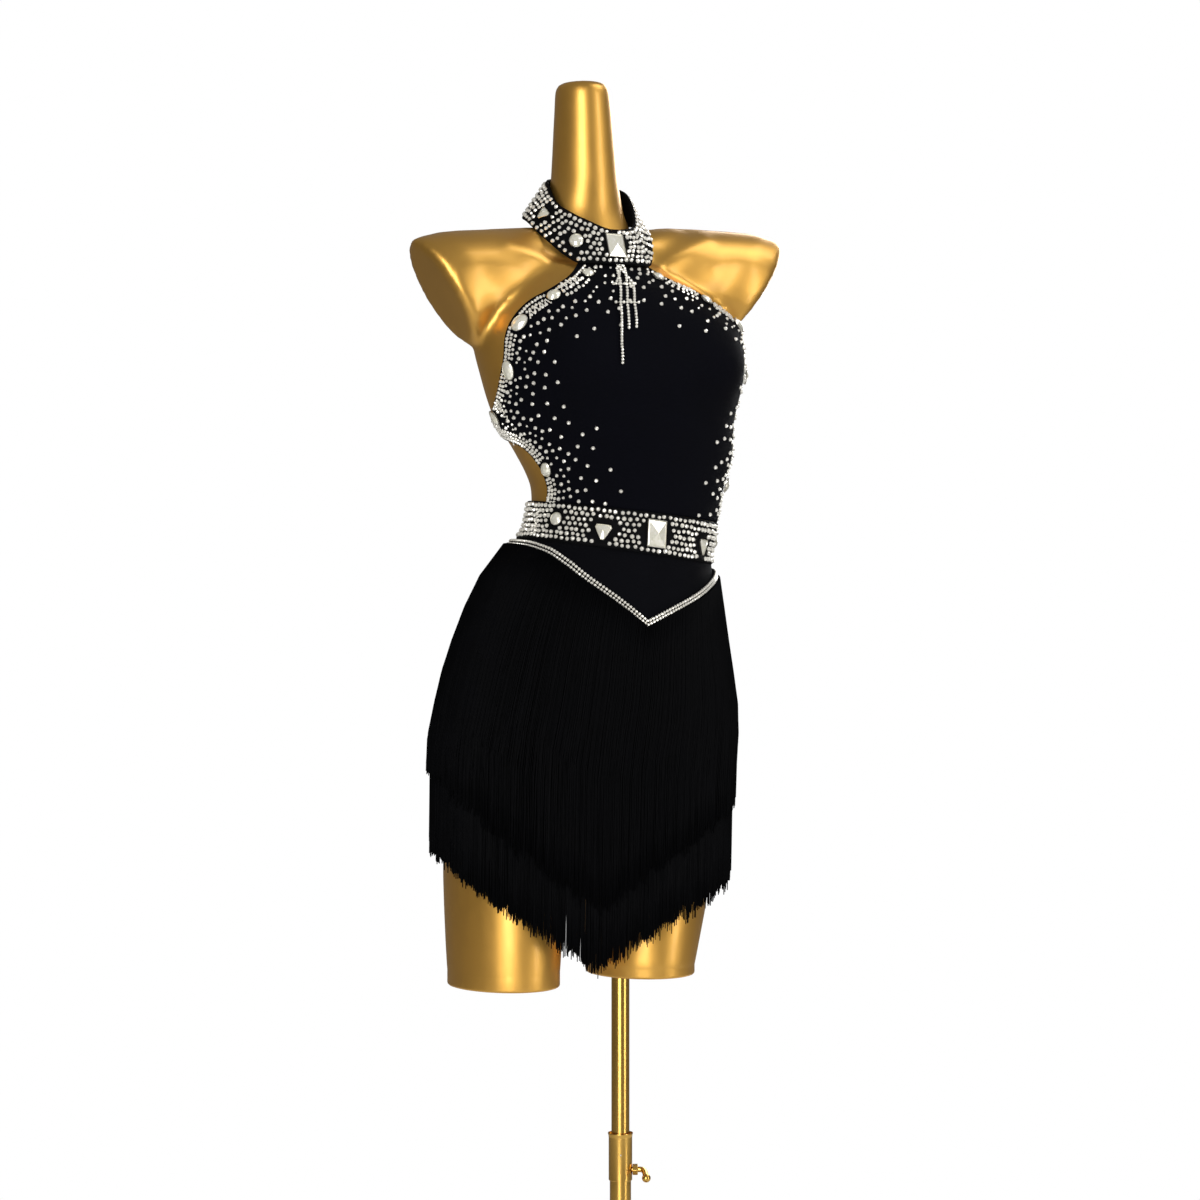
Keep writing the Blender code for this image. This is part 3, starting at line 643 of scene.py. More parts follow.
class Finish:
    """A material being made: its tree, its shader and its coordinates."""

    def __init__(self, name, coordinates="Object"):
        self.made = bpy.data.materials.new(name)
        self.made.use_nodes = True
        self.tree = self.made.node_tree
        self.shader = self.tree.nodes["Principled BSDF"]
        self.where = self.tree.nodes.new("ShaderNodeTexCoord").outputs[coordinates]

    def set(self, **values):
        """Constants on the shader's own sockets."""
        for label, value in values.items():
            self.shader.inputs[label.replace("_", " ")].default_value = value

    def link(self, socket, label):
        self.tree.links.new(socket, self.shader.inputs[label])

    def group(self, group, **values):
        """A node group placed in the material with its own values."""
        node = self.tree.nodes.new("ShaderNodeGroup")
        node.node_tree = group
        self.tree.links.new(self.where, node.inputs[0])
        for label, value in values.items():
            node.inputs[label].default_value = value
        return node

    def bump(self, height, strength, distance):
        """A Bump node that feeds the shader's normal."""
        node = self.tree.nodes.new("ShaderNodeBump")
        node.inputs["Strength"].default_value = strength
        node.inputs["Distance"].default_value = distance
        self.tree.links.new(height, node.inputs["Height"])
        self.link(node.outputs["Normal"], "Normal")


def cloth_finish(name, dark, light, across, along, roughness, depth):
    """A woven or knitted cloth on its own chart, made once for each name."""
    found = bpy.data.materials.get(name)
    if found:
        return found
    finish = Finish(name, "UV")
    threads = finish.group(weave_group(), Across=across, Along=along)
    shade = threads.outputs["Shade"]
    finish.link(mix_node(finish.tree, shade, dark, light), "Base Color")
    finish.link(range_node(finish.tree, shade, roughness - 0.05, roughness + 0.05), "Roughness")
    finish.set(Sheen_Weight=0.005, Sheen_Roughness=0.5, Specular_IOR_Level=0.045)
    finish.bump(threads.outputs["Height"], 0.35, depth)
    return finish.made


def crepe():
    """Matt black stretch crepe with a blue cast."""
    dark = tuple(bpy.context.scene.dress_colours.crepe)
    light = tuple(min(1.0, value * 1.6) for value in dark)
    return cloth_finish("black stretch crepe", dark, light, 7800, 7800, 0.86, 0.00025)


def satin():
    """The closer, smoother cloth that faces belt, collar and bindings."""
    dark, light = (0.0012, 0.0012, 0.0016), (0.003, 0.003, 0.0038)
    return cloth_finish("black band satin", dark, light, 10500, 5200, 0.6, 0.0002)


def knit():
    """The stretch knit of the skirt base."""
    dark, light = (0.0010, 0.0011, 0.002), (0.002, 0.0022, 0.0036)
    return cloth_finish("black stretch knit", dark, light, 5600, 8800, 0.82, 0.0003)


def yarn():
    """Twisted fringe yarn: black, with a little light along each strand."""
    made = bpy.data.materials.get("twisted fringe yarn")
    if made:
        return made
    finish = Finish("twisted fringe yarn")
    split = finish.tree.nodes.new("ShaderNodeSeparateXYZ")
    finish.tree.links.new(finish.where, split.inputs[0])
    lean = math_node(finish.tree, "MULTIPLY", split.outputs[0], 2600)
    fall = math_node(finish.tree, "MULTIPLY", split.outputs[2], 3800)
    twist = math_node(finish.tree, "SINE", math_node(finish.tree, "ADD", lean, fall))
    cloud = noise_node(finish.tree, finish.where, 45, 4.0)
    colour = mix_node(finish.tree, cloud, (0.0006, 0.0007, 0.0010), (0.0020, 0.0021, 0.0028))
    finish.link(colour, "Base Color")
    finish.link(range_node(finish.tree, cloud, 0.5, 0.72), "Roughness")
    finish.set(Specular_IOR_Level=0.045)
    finish.bump(twist, 0.3, 0.0002)
    return finish.made


def crystal(name, dark, light, roughness, metallic):
    """Foiled crystal: bright, with cuts that catch the light differently."""
    made = bpy.data.materials.get(name)
    if made:
        return made
    finish = Finish(name)
    cloud = noise_node(finish.tree, finish.where, 330, 1.0)
    finish.link(mix_node(finish.tree, cloud, dark, light), "Base Color")
    finish.link(range_node(finish.tree, cloud, roughness * 0.6, roughness * 1.4), "Roughness")
    finish.set(Metallic=metallic, IOR=1.56, Coat_Weight=0.6, Coat_Roughness=0.05)
    finish.bump(noise_node(finish.tree, finish.where, 900, 1.0), 0.12, 0.0001)
    return finish.made


def small_crystal():
    return crystal("foiled round stones", (0.70, 0.68, 0.60), (1.0, 0.98, 0.93), 0.24, 0.42)


def large_crystal():
    return crystal("foiled fancy stones", (0.72, 0.71, 0.52), (0.97, 0.95, 0.93), 0.16, 0.45)


def metal(name, dark, light, low, high, height=0.00003):
    """Plated or polished metal with a faint film of handling."""
    made = bpy.data.materials.get(name)
    if made:
        return made
    finish = Finish(name)
    film = finish.group(film_group(), Mottle=1.0)
    finish.link(mix_node(finish.tree, film.outputs["Shade"], dark, light), "Base Color")
    finish.link(range_node(finish.tree, film.outputs["Rub"], low, high), "Roughness")
    finish.set(Metallic=1.0)
    finish.bump(film.outputs["Height"], 0.004, height)
    return finish.made


def brass():
    return metal("polished brass plate", (0.56, 0.33, 0.07), (0.70, 0.43, 0.11), 0.23, 0.3)


def silver():
    return metal("silver settings", (0.40, 0.38, 0.33), (0.72, 0.70, 0.64), 0.25, 0.5)


def steel():
    return metal("nickel hook", (0.42, 0.42, 0.42), (0.66, 0.66, 0.66), 0.2, 0.45)


def gold_lacquer():
    """The form's satin gold lacquer."""
    made = bpy.data.materials.get("satin gold lacquer")
    if made:
        return made
    colours = bpy.context.scene.dress_colours
    finish = Finish("satin gold lacquer")
    film = finish.group(film_group(), Mottle=1.0)
    base = Vector(colours.gold)
    colour = mix_node(finish.tree, film.outputs["Shade"], tuple(base * 0.78), tuple(base * 1.1))
    finish.link(colour, "Base Color")
    finish.link(range_node(finish.tree, film.outputs["Rub"], 0.36, 0.52), "Roughness")
    finish.set(Metallic=0.92, Coat_Weight=0.2, Coat_Roughness=0.16)
    finish.bump(film.outputs["Height"], 0.1, 0.0002)
    return finish.made


# --- settings ---------------------------------------------------------------------------


class DressSizes(bpy.types.PropertyGroup):
    """Sizes that a user would change."""

    belt_stone: FloatProperty(
        name="Belt stone", description="Diameter of the belt's and collar's round stones",
        default=4.6 * MM, unit="LENGTH",
    )  # fmt: skip
    belt_pitch: FloatProperty(
        name="Belt pitch", description="Distance between neighbouring round stones",
        default=6.15 * MM, unit="LENGTH",
    )  # fmt: skip
    chain_stone: FloatProperty(
        name="Chain stone", description="Diameter of the stones in the hip chain",
        default=3.6 * MM, unit="LENGTH",
    )  # fmt: skip
    strand: FloatProperty(
        name="Strand", description="Thickness of one strand of fringe",
        default=1.35 * MM, unit="LENGTH",
    )  # fmt: skip
    strands: IntProperty(
        name="Strands", description="Strands round one layer of fringe", default=900, min=100,
    )  # fmt: skip
    voxel: FloatProperty(
        name="Form grain", description="Voxel size of the smoothed torso form",
        default=4.0 * MM, unit="LENGTH",
    )  # fmt: skip


class DressColours(bpy.types.PropertyGroup):
    """Colours that a user would change."""

    gold: FloatVectorProperty(
        name="Gold", description="The form's lacquer", subtype="COLOR", default=(0.67, 0.37, 0.075),
    )  # fmt: skip
    crepe: FloatVectorProperty(
        name="Crepe", description="The bodice's cloth", subtype="COLOR", default=(0.0010, 0.0011, 0.0024),
    )  # fmt: skip


# --- the torso form ---------------------------------------------------------------------

# Soft modelling of the chest and back: ridges and hollows between two places, in millimetres.
MODELLING = (
    # start, end, width, lift
    ((-26, -34, 1376), (-118, -14, 1404), 9, 2.6),
    ((30, -30, 1380), (120, -10, 1424), 9, 2.4),
    ((-52, -18, 1398), (-100, 0, 1412), 11, -3.4),
    ((52, -14, 1404), (102, 2, 1430), 11, -3.0),
    ((-4, -42, 1372), (-4, -44, 1382), 9, -2.2),
    ((-150, -28, 1372), (-118, -52, 1338), 16, -2.0),
    ((152, -24, 1392), (120, -48, 1352), 16, -2.0),
    ((6, 96, 1300), (16, 84, 1140), 16, -2.8),
    ((-66, 92, 1350), (-84, 92, 1290), 24, 2.2),
    ((78, 92, 1362), (92, 92, 1300), 24, 2.2),
)


def modelling_lift(spots):
    """How far each point of the form is raised, in millimetres."""
    lift = np.zeros(len(spots))
    for start, end, width, rise in MODELLING:
        start, end = np.array(start, dtype=float), np.array(end, dtype=float)
        run = end - start
        t = np.clip((spots - start) @ run / (run @ run), 0, 1)
        away = np.linalg.norm(spots - start - t[:, None] * run, axis=1)
        lift += rise * np.exp(-((away / width) ** 2))
    return lift


# Where the thighs are cut off, right and left, and where the smoothed shell is trimmed first.
THIGH_ENDS = (646.5, 651.7)
THIGH_TRIM = 662
BETWEEN_THIGHS = -32


def square_off(mesh):
    """Give the thighs flat ends with narrow rounded rims."""
    work = bmesh.new()
    work.from_mesh(mesh)
    bmesh.ops.bisect_plane(
        work, geom=work.verts[:] + work.edges[:] + work.faces[:], plane_co=(0, 0, THIGH_TRIM * MM),
        plane_no=(0, 0, 1), clear_inner=True,
    )  # fmt: skip
    edges = [edge for edge in work.edges if edge.is_boundary]
    drawn = bmesh.ops.extrude_edge_only(work, edges=edges)["geom"]
    for vert in drawn:
        if isinstance(vert, bmesh.types.BMVert):
            left = vert.co.x > SPINE.x + BETWEEN_THIGHS * MM
            vert.co.z = THIGH_ENDS[left] * MM
    rims = [edge for edge in drawn if isinstance(edge, bmesh.types.BMEdge)]
    rims = [edge for edge in rims if edge.is_boundary]
    bmesh.ops.triangle_fill(work, edges=rims, use_beauty=True)
    outer = [
        edge for edge in rims
        if (edge.verts[0].co.xy - Vector((POLE_X, 0))).length > 0.02
    ]  # fmt: skip
    bmesh.ops.recalc_face_normals(work, faces=work.faces)
    bmesh.ops.bevel(
        work, geom=outer, offset=0.0025, segments=3, profile=0.5, affect="EDGES", material=-1
    )
    work.to_mesh(mesh)
    work.free()


class DRESS_OT_form(bpy.types.Operator):
    """Smooth the torso form's shell and model its collar bones, back and hollows"""

    bl_idname = "dress.form"
    bl_label = "Torso form"

    def execute(self, context):
        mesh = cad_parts["form_torso"].data.copy()
        mesh.materials.clear()
        work = bmesh.new()
        work.from_mesh(mesh)
        bmesh.ops.remove_doubles(work, verts=work.verts, dist=0.00002)
        work.to_mesh(mesh)
        work.free()
        piece = new_piece("torso_shell", mesh, gold_lacquer(), "dress_form", "gold_paint", "form_torso")
        grain = piece.modifiers.new("grain", "REMESH")
        grain.mode = "VOXEL"
        grain.voxel_size = context.scene.dress_sizes.voxel
        smooth = piece.modifiers.new("smooth", "SMOOTH")
        smooth.factor = 0.5
        smooth.iterations = 14
        settle(piece)
        mesh = piece.data
        count = len(mesh.vertices)
        spots = np.empty(count * 3)
        normals = np.empty(count * 3)
        mesh.vertices.foreach_get("co", spots)
        mesh.vertex_normals.foreach_get("vector", normals)
        spots, normals = spots.reshape(-1, 3), normals.reshape(-1, 3)
        lift = modelling_lift((spots - np.array(SPINE)) / MM) * MM
        mesh.vertices.foreach_set("co", (spots + normals * lift[:, None]).ravel())
        square_off(mesh)
        mesh.shade_smooth()
        mesh.set_sharp_from_angle(angle=math.radians(50))
        return {"FINISHED"}


# --- cloth ------------------------------------------------------------------------------


# How high the bodice's top runs up behind the collar, and how far below it that begins.
TUCKED_TOP = 1396
TUCK_FROM = 26


def bodice_height(v):
    """Heights up the bodice, with as many rows of cloth between each two of its table's rows."""
    return np.interp(v, np.linspace(0, 1, len(BODICE.keys)), BODICE.keys)


def bodice_place(u, v):
    """The height and angle of a place on the bodice, whose top runs up behind the collar."""
    height = bodice_height(v)
    angle = (2 * u - 1) * BODICE.at(height)["edge"]
    level = trunk_spot(np.full(np.shape(height), BODICE.keys[-1]), angle)[..., 2]
    short = np.maximum(TUCKED_TOP - level, 0)
    near_top = np.clip((height - BODICE.keys[-1] + TUCK_FROM) / TUCK_FROM, 0, 1)
    return height + short * near_top**2, angle


def bodice_point(u, v):
    """Points of the bodice's inner face, just clear of the form."""
    height, angle = bodice_place(u, v)
    return trunk_point(height, angle, CLEAR + folds(height, angle, FRONT_FOLDS))


class DRESS_OT_bodice(bpy.types.Operator):
    """Lay the halter front over the form, with its folds and bound edges"""

    bl_idname = "dress.bodice"
    bl_label = "Bodice"

    def execute(self, context):
        mesh = sheet_mesh("bodice", 84, 108, bodice_point, (0.33, 0.26))
        piece = new_piece("bodice", mesh, crepe(), "dress_form", "black_crepe", "bodice_front")
        thicken(piece, BODICE_WALL)
        settle(piece)
        beads = []
        for side in (-1, 1):
            height, angle = bodice_place(np.full(150, (1 + side) / 2), np.linspace(0, 1, 150))
            path = trunk_point(height, angle, np.full(150, CLEAR + 0.7))
            beads.append(cord_mesh("bead", path, 1.0))
        beads = joined(beads, "bodice_binding")
        binding = new_piece("bodice_binding", beads, satin(), "dress_form", "black_crepe")
        return {"FINISHED"}


def edged_band(name, slot, mesh, edges, node, wall):
    """A stiffened band in place of its node, with a bound edge along both sides."""
    piece = new_piece(name, mesh, satin(), "dress_form", slot, node)
    thicken(piece, wall)
    settle(piece)
    beads = joined(edges, f"{name}_piping")
    piping = new_piece(f"{name}_piping", beads, satin(), "dress_form", slot)
    return piece, piping


class DRESS_OT_collar(bpy.types.Operator):
    """Make the stiffened collar with its bound edges, and the hook at its lap"""

    bl_idname = "dress.collar"
    bl_label = "Collar"

    def execute(self, context):
        opening = 180 - COLLAR_LAP

        def where(u, v):
            return collar_point((2 * u - 1) * opening, v)

        mesh = sheet_mesh("collar", 150, 12, where, (0.36, 0.04))
        angles = np.linspace(-opening, opening, 160)
        edges = []
        for rise in (0.0, 1.0):
            path = collar_point(angles, np.full(160, rise), BAND / 2)
            edges.append(cord_mesh("edge", path, BAND / 2 + 0.1))
        piece, piping = edged_band("collar", "black_crepe", mesh, edges, "halter_collar", BAND)
        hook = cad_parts["collar_hook"]
        hook.data.materials.clear()
        hook.data.materials.append(steel())
        return {"FINISHED"}


class DRESS_OT_back_strap(bpy.types.Operator):
    """Make the narrow strap across the bare back"""

    bl_idname = "dress.back_strap"
    bl_label = "Back strap"

    def execute(self, context):
        def where(u, v):
            angle = STRAP_EDGE + u * (360 - 2 * STRAP_EDGE)
            height = STRAP_BOTTOM + v * (STRAP_TOP - STRAP_BOTTOM)
            return trunk_point(height, angle, CLEAR + 0.3 * np.sin(u * 21) * np.sin(v * math.pi))

        mesh = sheet_mesh("back_strap", 90, 6, where, (0.26, 0.012))
        piece = new_piece("strap", mesh, crepe(), "dress_form", "black_crepe", "back_strap")
        thicken(piece, CREPE)
        settle(piece)
        return {"FINISHED"}


class DRESS_OT_belt(bpy.types.Operator):
    """Make the stiffened belt with its piped edges"""

    bl_idname = "dress.belt"
    bl_label = "Belt"

    def execute(self, context):
        def where(u, v):
            height = BELT_BOTTOM + v * (BELT_TOP - BELT_BOTTOM)
            return trunk_point(height, u * 360 - 180, np.full(np.shape(u), CLEAR))

        mesh = sheet_mesh("belt", 160, 12, where, (0.60, 0.042), closed=True)
        angles = np.linspace(-180, 180, 161)[:-1]
        edges = []
        for height in (BELT_BOTTOM + 0.6, BELT_TOP - 0.6):
            path = trunk_point(np.full(160, height), angles, CLEAR + BAND / 2)
            edges.append(cord_mesh("edge", path, BAND / 2, closed=True))
        piece, piping = edged_band("belt", "black_crepe", mesh, edges, "waist_belt", BAND)
        return {"FINISHED"}


class DRESS_OT_skirt_base(bpy.types.Operator):
    """Make the knit skirt under the fringe, in a front and a back"""

    bl_idname = "dress.skirt_base"
    bl_label = "Skirt base"

    def execute(self, context):
        halves = (("skirt_front", -90, "skirt_base_front"), ("skirt_back", 90, "skirt_base_back"))
        for name, start, node in halves:

            def where(u, v):
                angle = start + 0.15 + u * 179.7
                bottom = skirt_line(angle, "lower_hem") + BASE_SHORTER
                height = bottom + (BELT_BOTTOM - 0.3 - bottom) * v
                return skirt_point(height, angle, CLEAR + folds(height, angle, PANEL_FOLDS))

            mesh = sheet_mesh(name, 96, 60, where, (0.46, 0.27))
            piece = new_piece(name, mesh, knit(), "dress_form", "black_knit", node)
            thicken(piece, KNIT)
            settle(piece)
        return {"FINISHED"}


# --- fringe -----------------------------------------------------------------------------

STRAND_STEPS = 7
STRAND_SIDES = 3
FIRST_OUT = 0.4
LAYERS_DEPTH = 2.2

# Each length of fringe: its pieces' name, its hem line, its node and its layers of strands.
TIERS = (
    ("fringe_low", "lower_hem", "fringe_lower", 4),
    ("fringe_high", "upper_hem", "fringe_upper", 2),
)


def strand_mesh(name, tops, bottoms, angles, outs, radius, chance):
    """Many hanging strands as one mesh: each a tapering three-sided prism."""
    count = len(angles)
    fall = np.linspace(0, 1, STRAND_STEPS + 1)
    height = tops[:, None] + (bottoms - tops)[:, None] * fall[None, :]
    wave = np.sin(height / 31 + chance.uniform(0, 6.3, (count, 1))) * 0.35 * fall
    clump = np.interp(angles, np.linspace(-180, 180, 91), chance.normal(0, 0.2, 91))
    drift = (chance.normal(0, 0.16, count) + clump * 0.8)[:, None] * fall**3 + wave * 0.2
    heading = angles[:, None] + drift
    lift = outs[:, None] + chance.normal(0, 0.5, (count, 1)) * fall**2 + wave * 0.4
    points = skirt_point(height, heading, lift)
    around, outward = surface_axes(lambda h, a: skirt_point(h, a, 0.0), height, heading, 2.0)
    thick = radius * (1.05 - 0.2 * fall**8)
    rings = []
    for side in range(STRAND_SIDES):
        turn = 2 * math.pi * side / STRAND_SIDES + math.pi / 2
        away = around * math.cos(turn) + outward * math.sin(turn)
        rings.append(points + away * thick[None, :, None])
    grid = np.stack(rings, axis=2)
    index = np.arange(grid[..., 0].size).reshape(grid.shape[:3])
    ahead = np.roll(index, -1, axis=2)
    walls = np.stack((index[:, :-1], index[:, 1:], ahead[:, 1:], ahead[:, :-1]), axis=-1)
    walls = walls.reshape(-1, 4)
    caps = np.concatenate((index[:, 0, :], index[:, -1, ::-1]))
    mesh = bpy.data.meshes.new(name)
    mesh.from_pydata(placed(grid.reshape(-1, 3)).tolist(), [], walls.tolist() + caps.tolist())
    mesh.update()
    mesh.shade_smooth()
    return mesh


def ragged(angles, chance):
    """How far each strand's end is from the hem line: in clumps, with a few long ones."""
    clump = np.interp(angles, np.linspace(-180, 180, 191), chance.normal(0, 4.2, 191))
    ends = clump + chance.normal(0, 1.8, len(angles))
    longer = chance.random(len(angles)) < 0.12
    return np.clip(ends - longer * chance.uniform(2, 9, len(angles)), -13, 9)


class DRESS_OT_fringe(bpy.types.Operator):
    """Hang the strands of both lengths of fringe"""

    bl_idname = "dress.fringe"
    bl_label = "Fringe"

    def execute(self, context):
        sizes = context.scene.dress_sizes
        radius = sizes.strand / MM / 2
        chance = np.random.default_rng(11)
        for name, line, node, layers in TIERS:
            for layer in range(layers):
                pitch = 360 / sizes.strands
                angles = -180 + pitch * (np.arange(sizes.strands) + layer / layers)
                angles = angles + chance.normal(0, pitch * 0.22, sizes.strands)
                chain = chain_line(angles)
                if line == "lower_hem":
                    tops = chain - HEADER_DROP
                    base = np.full(sizes.strands, ON_KNIT)
                else:
                    tops = chain - CHAIN_WIDTH / 2 - 0.3
                    base = np.full(sizes.strands, ON_FRINGE)
                bottoms = skirt_line(angles, line) + ragged(angles, chance)
                outs = base + FIRST_OUT + layer * LAYERS_DEPTH / layers
                label = f"{name}_{layer + 1}"
                mesh = strand_mesh(label, tops, bottoms, angles, outs, radius, chance)
                piece = new_piece(label, mesh, yarn(), "dress_form", "black_fringe")
                if layer == 0:
                    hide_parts(node)
        return {"FINISHED"}


# --- stones -----------------------------------------------------------------------------

# A round stone's height for a radius of 1, and how far its foot sinks into the cloth, in mm.
STONE_HEIGHT = 1.1
STONE_SINK = 0.2


def belt_surface(height, angle):
    """The belt's outer face."""
    return trunk_point(height, angle, np.full(np.shape(height), CLEAR + BAND))


def bodice_surface(height, angle):
    """The bodice's outer face, with its creases."""
    return trunk_point(height, angle, CLEAR + BODICE_WALL + folds(height, angle, FRONT_FOLDS))


def collar_surface(rise, angle):
    """The collar's outer face."""
    return collar_point(angle, rise, BAND)


def gem_places():
    """A row for every large stone on belt and bodice, with the columns of their table."""
    rows = [("belt_square", 1115, BELT_SQUARE_ANGLE, "square", 20, 27, 5.2, 0)]
    for name, height, angle, outline, width, length, rise, spin in BAND_GEMS:
        for side, sign in SIDES:
            place = (f"{name}_{side}", height, sign * angle)
            rows.append((*place, outline, width, length, rise, sign * spin))
    return rows


def clear_of(points, others, gap):
    """Which points lie further than a gap from all of the others."""
    if not len(others):
        return np.ones(len(points), dtype=bool)
    away = np.linalg.norm(points[:, None, :] - others[None, :, :], axis=-1)
    return (away - np.asarray(gap)[None, :]).min(axis=1) > 0


def gem_spots():
    """The middles of the large stones with the room that each needs."""
    rows = gem_places()
    height = np.array([row[1] for row in rows], dtype=float)
    angle = np.array([row[2] for row in rows], dtype=float)
    room = np.array([max(row[4], row[5]) / 2 + 3.6 for row in rows])
    return trunk_point(height, angle, np.full(len(rows), CLEAR + BAND)), room


def stone_rows(name, surface, lengthwise, crosswise, radius, chance, avoid):
    """Stones at jittered places on a surface, kept clear of what is to be avoided."""
    origins = surface(crosswise, lengthwise)
    keep = clear_of(origins, avoid[0], avoid[1])
    lengthwise, crosswise, origins = lengthwise[keep], crosswise[keep], origins[keep]
    step = 0.02 if surface is collar_surface else 1.0
    around = unit(surface(crosswise, lengthwise + 1) - surface(crosswise, lengthwise - 1))
    upward = surface(crosswise + step, lengthwise) - surface(crosswise - step, lengthwise)
    outward = unit(np.cross(around, upward))
    size = radius * chance.uniform(0.86, 1.08, len(origins))
    spin = chance.uniform(0, 6.3, len(origins))[:, None]
    across = around * np.cos(spin) + np.cross(outward, around) * np.sin(spin)
    leaning = tipped(outward, chance, 0.07)
    sizes = np.stack((size, size * STONE_HEIGHT), axis=1)
    return arrayed(name, template(8), origins - leaning * STONE_SINK, across, leaning, sizes)


def stone_grid(length, width, pitch, chance, margin):
    """Jittered places over a band, as fractions along and across it."""
    rows = max(2, int(round((width - 2 * margin) / (pitch * 0.95))) + 1)
    columns = int(length / pitch)
    across = np.linspace(margin, width - margin, rows)
    along = (np.arange(columns) + 0.5) * length / columns
    grid = np.array([(a + 0.5 * pitch * (i % 2), b) for i, b in enumerate(across) for a in along])
    grid += chance.uniform(-0.13, 0.13, grid.shape) * pitch
    return (grid[:, 0] % length) / length, grid[:, 1] / width


class DRESS_OT_belt_stones(bpy.types.Operator):
    """Set the rows of round stones on belt and collar"""

    bl_idname = "dress.belt_stones"
    bl_label = "Belt and collar stones"

    def execute(self, context):
        sizes = context.scene.dress_sizes
        radius, pitch = sizes.belt_stone / MM / 2, sizes.belt_pitch / MM
        chance = np.random.default_rng(5)
        along, across = stone_grid(610, 42, pitch, chance, 3.6)
        height = BELT_BOTTOM + across * (BELT_TOP - BELT_BOTTOM)
        angle = along * 360 - 180
        mesh = stone_rows(
            "belt_stones", belt_surface, angle, height, radius, chance, gem_spots()
        )
        new_piece("belt_stones", mesh, small_crystal(), "dress_form", "stone_band")

        along, across = stone_grid(372, 39, pitch, chance, 3.2)
        angle = (2 * along - 1) * (180 - COLLAR_LAP)
        spots = np.array([row[1:3] for row in COLLAR_GEMS])
        avoid = (collar_surface(spots[:, 1], spots[:, 0]), np.array(COLLAR_GEM_ROOM))
        mesh = stone_rows(
            "collar_stones", collar_surface, angle, across, radius, chance, avoid
        )
        new_piece("collar_stones", mesh, small_crystal(), "dress_form", "stone_band")
        return {"FINISHED"}


def flat_radius(height):
    """The radius that turns an angle into a distance round the bodice."""
    row = TRUNK.at(height)
    return 0.5 * (row["width"] + row["front"])


def edge_line(inset, count=420):
    """The bodice's left edge, moved inwards, as distance round and height."""
    height = np.linspace(BODICE.keys[0] + 1, BODICE.keys[-1] - 1, 900)
    aside = np.radians(BODICE.at(height)["edge"]) * flat_radius(height)
    line = np.stack((aside, height), axis=1)
    run = np.gradient(line, axis=0)
    run /= np.linalg.norm(run, axis=1, keepdims=True)
    line = line + np.stack((-run[:, 1], run[:, 0]), axis=1) * inset
    length = np.concatenate(([0], np.cumsum(np.linalg.norm(np.diff(line, axis=0), axis=1))))
    even = np.linspace(0, length[-1], count)
    spots = (np.interp(even, length, line[:, 0]), np.interp(even, length, line[:, 1]))
    return np.stack(spots, axis=1), length[-1]


COLLAR_BOTTOM = 1392

# The rows of stones along the bodice's edge: how far in each is and the pitch of its stones.
EDGE_ROWS = ((2.4, 4.1), (6.5, 4.4), (10.7, 4.9))


# How the scatter thins out: the distance from the edge and the gap between stones there.
SCATTER = (
    (0, 3.9),
    (12, 4.3),
    (20, 5.6),
    (32, 7.8),
    (48, 10.5),
    (65, 14.5),
    (82, 22),
    (92, 400),
)


def spacing(away):
    """How far apart the scattered stones are, by distance from the edge."""
    return np.interp(away, *zip(*SCATTER))


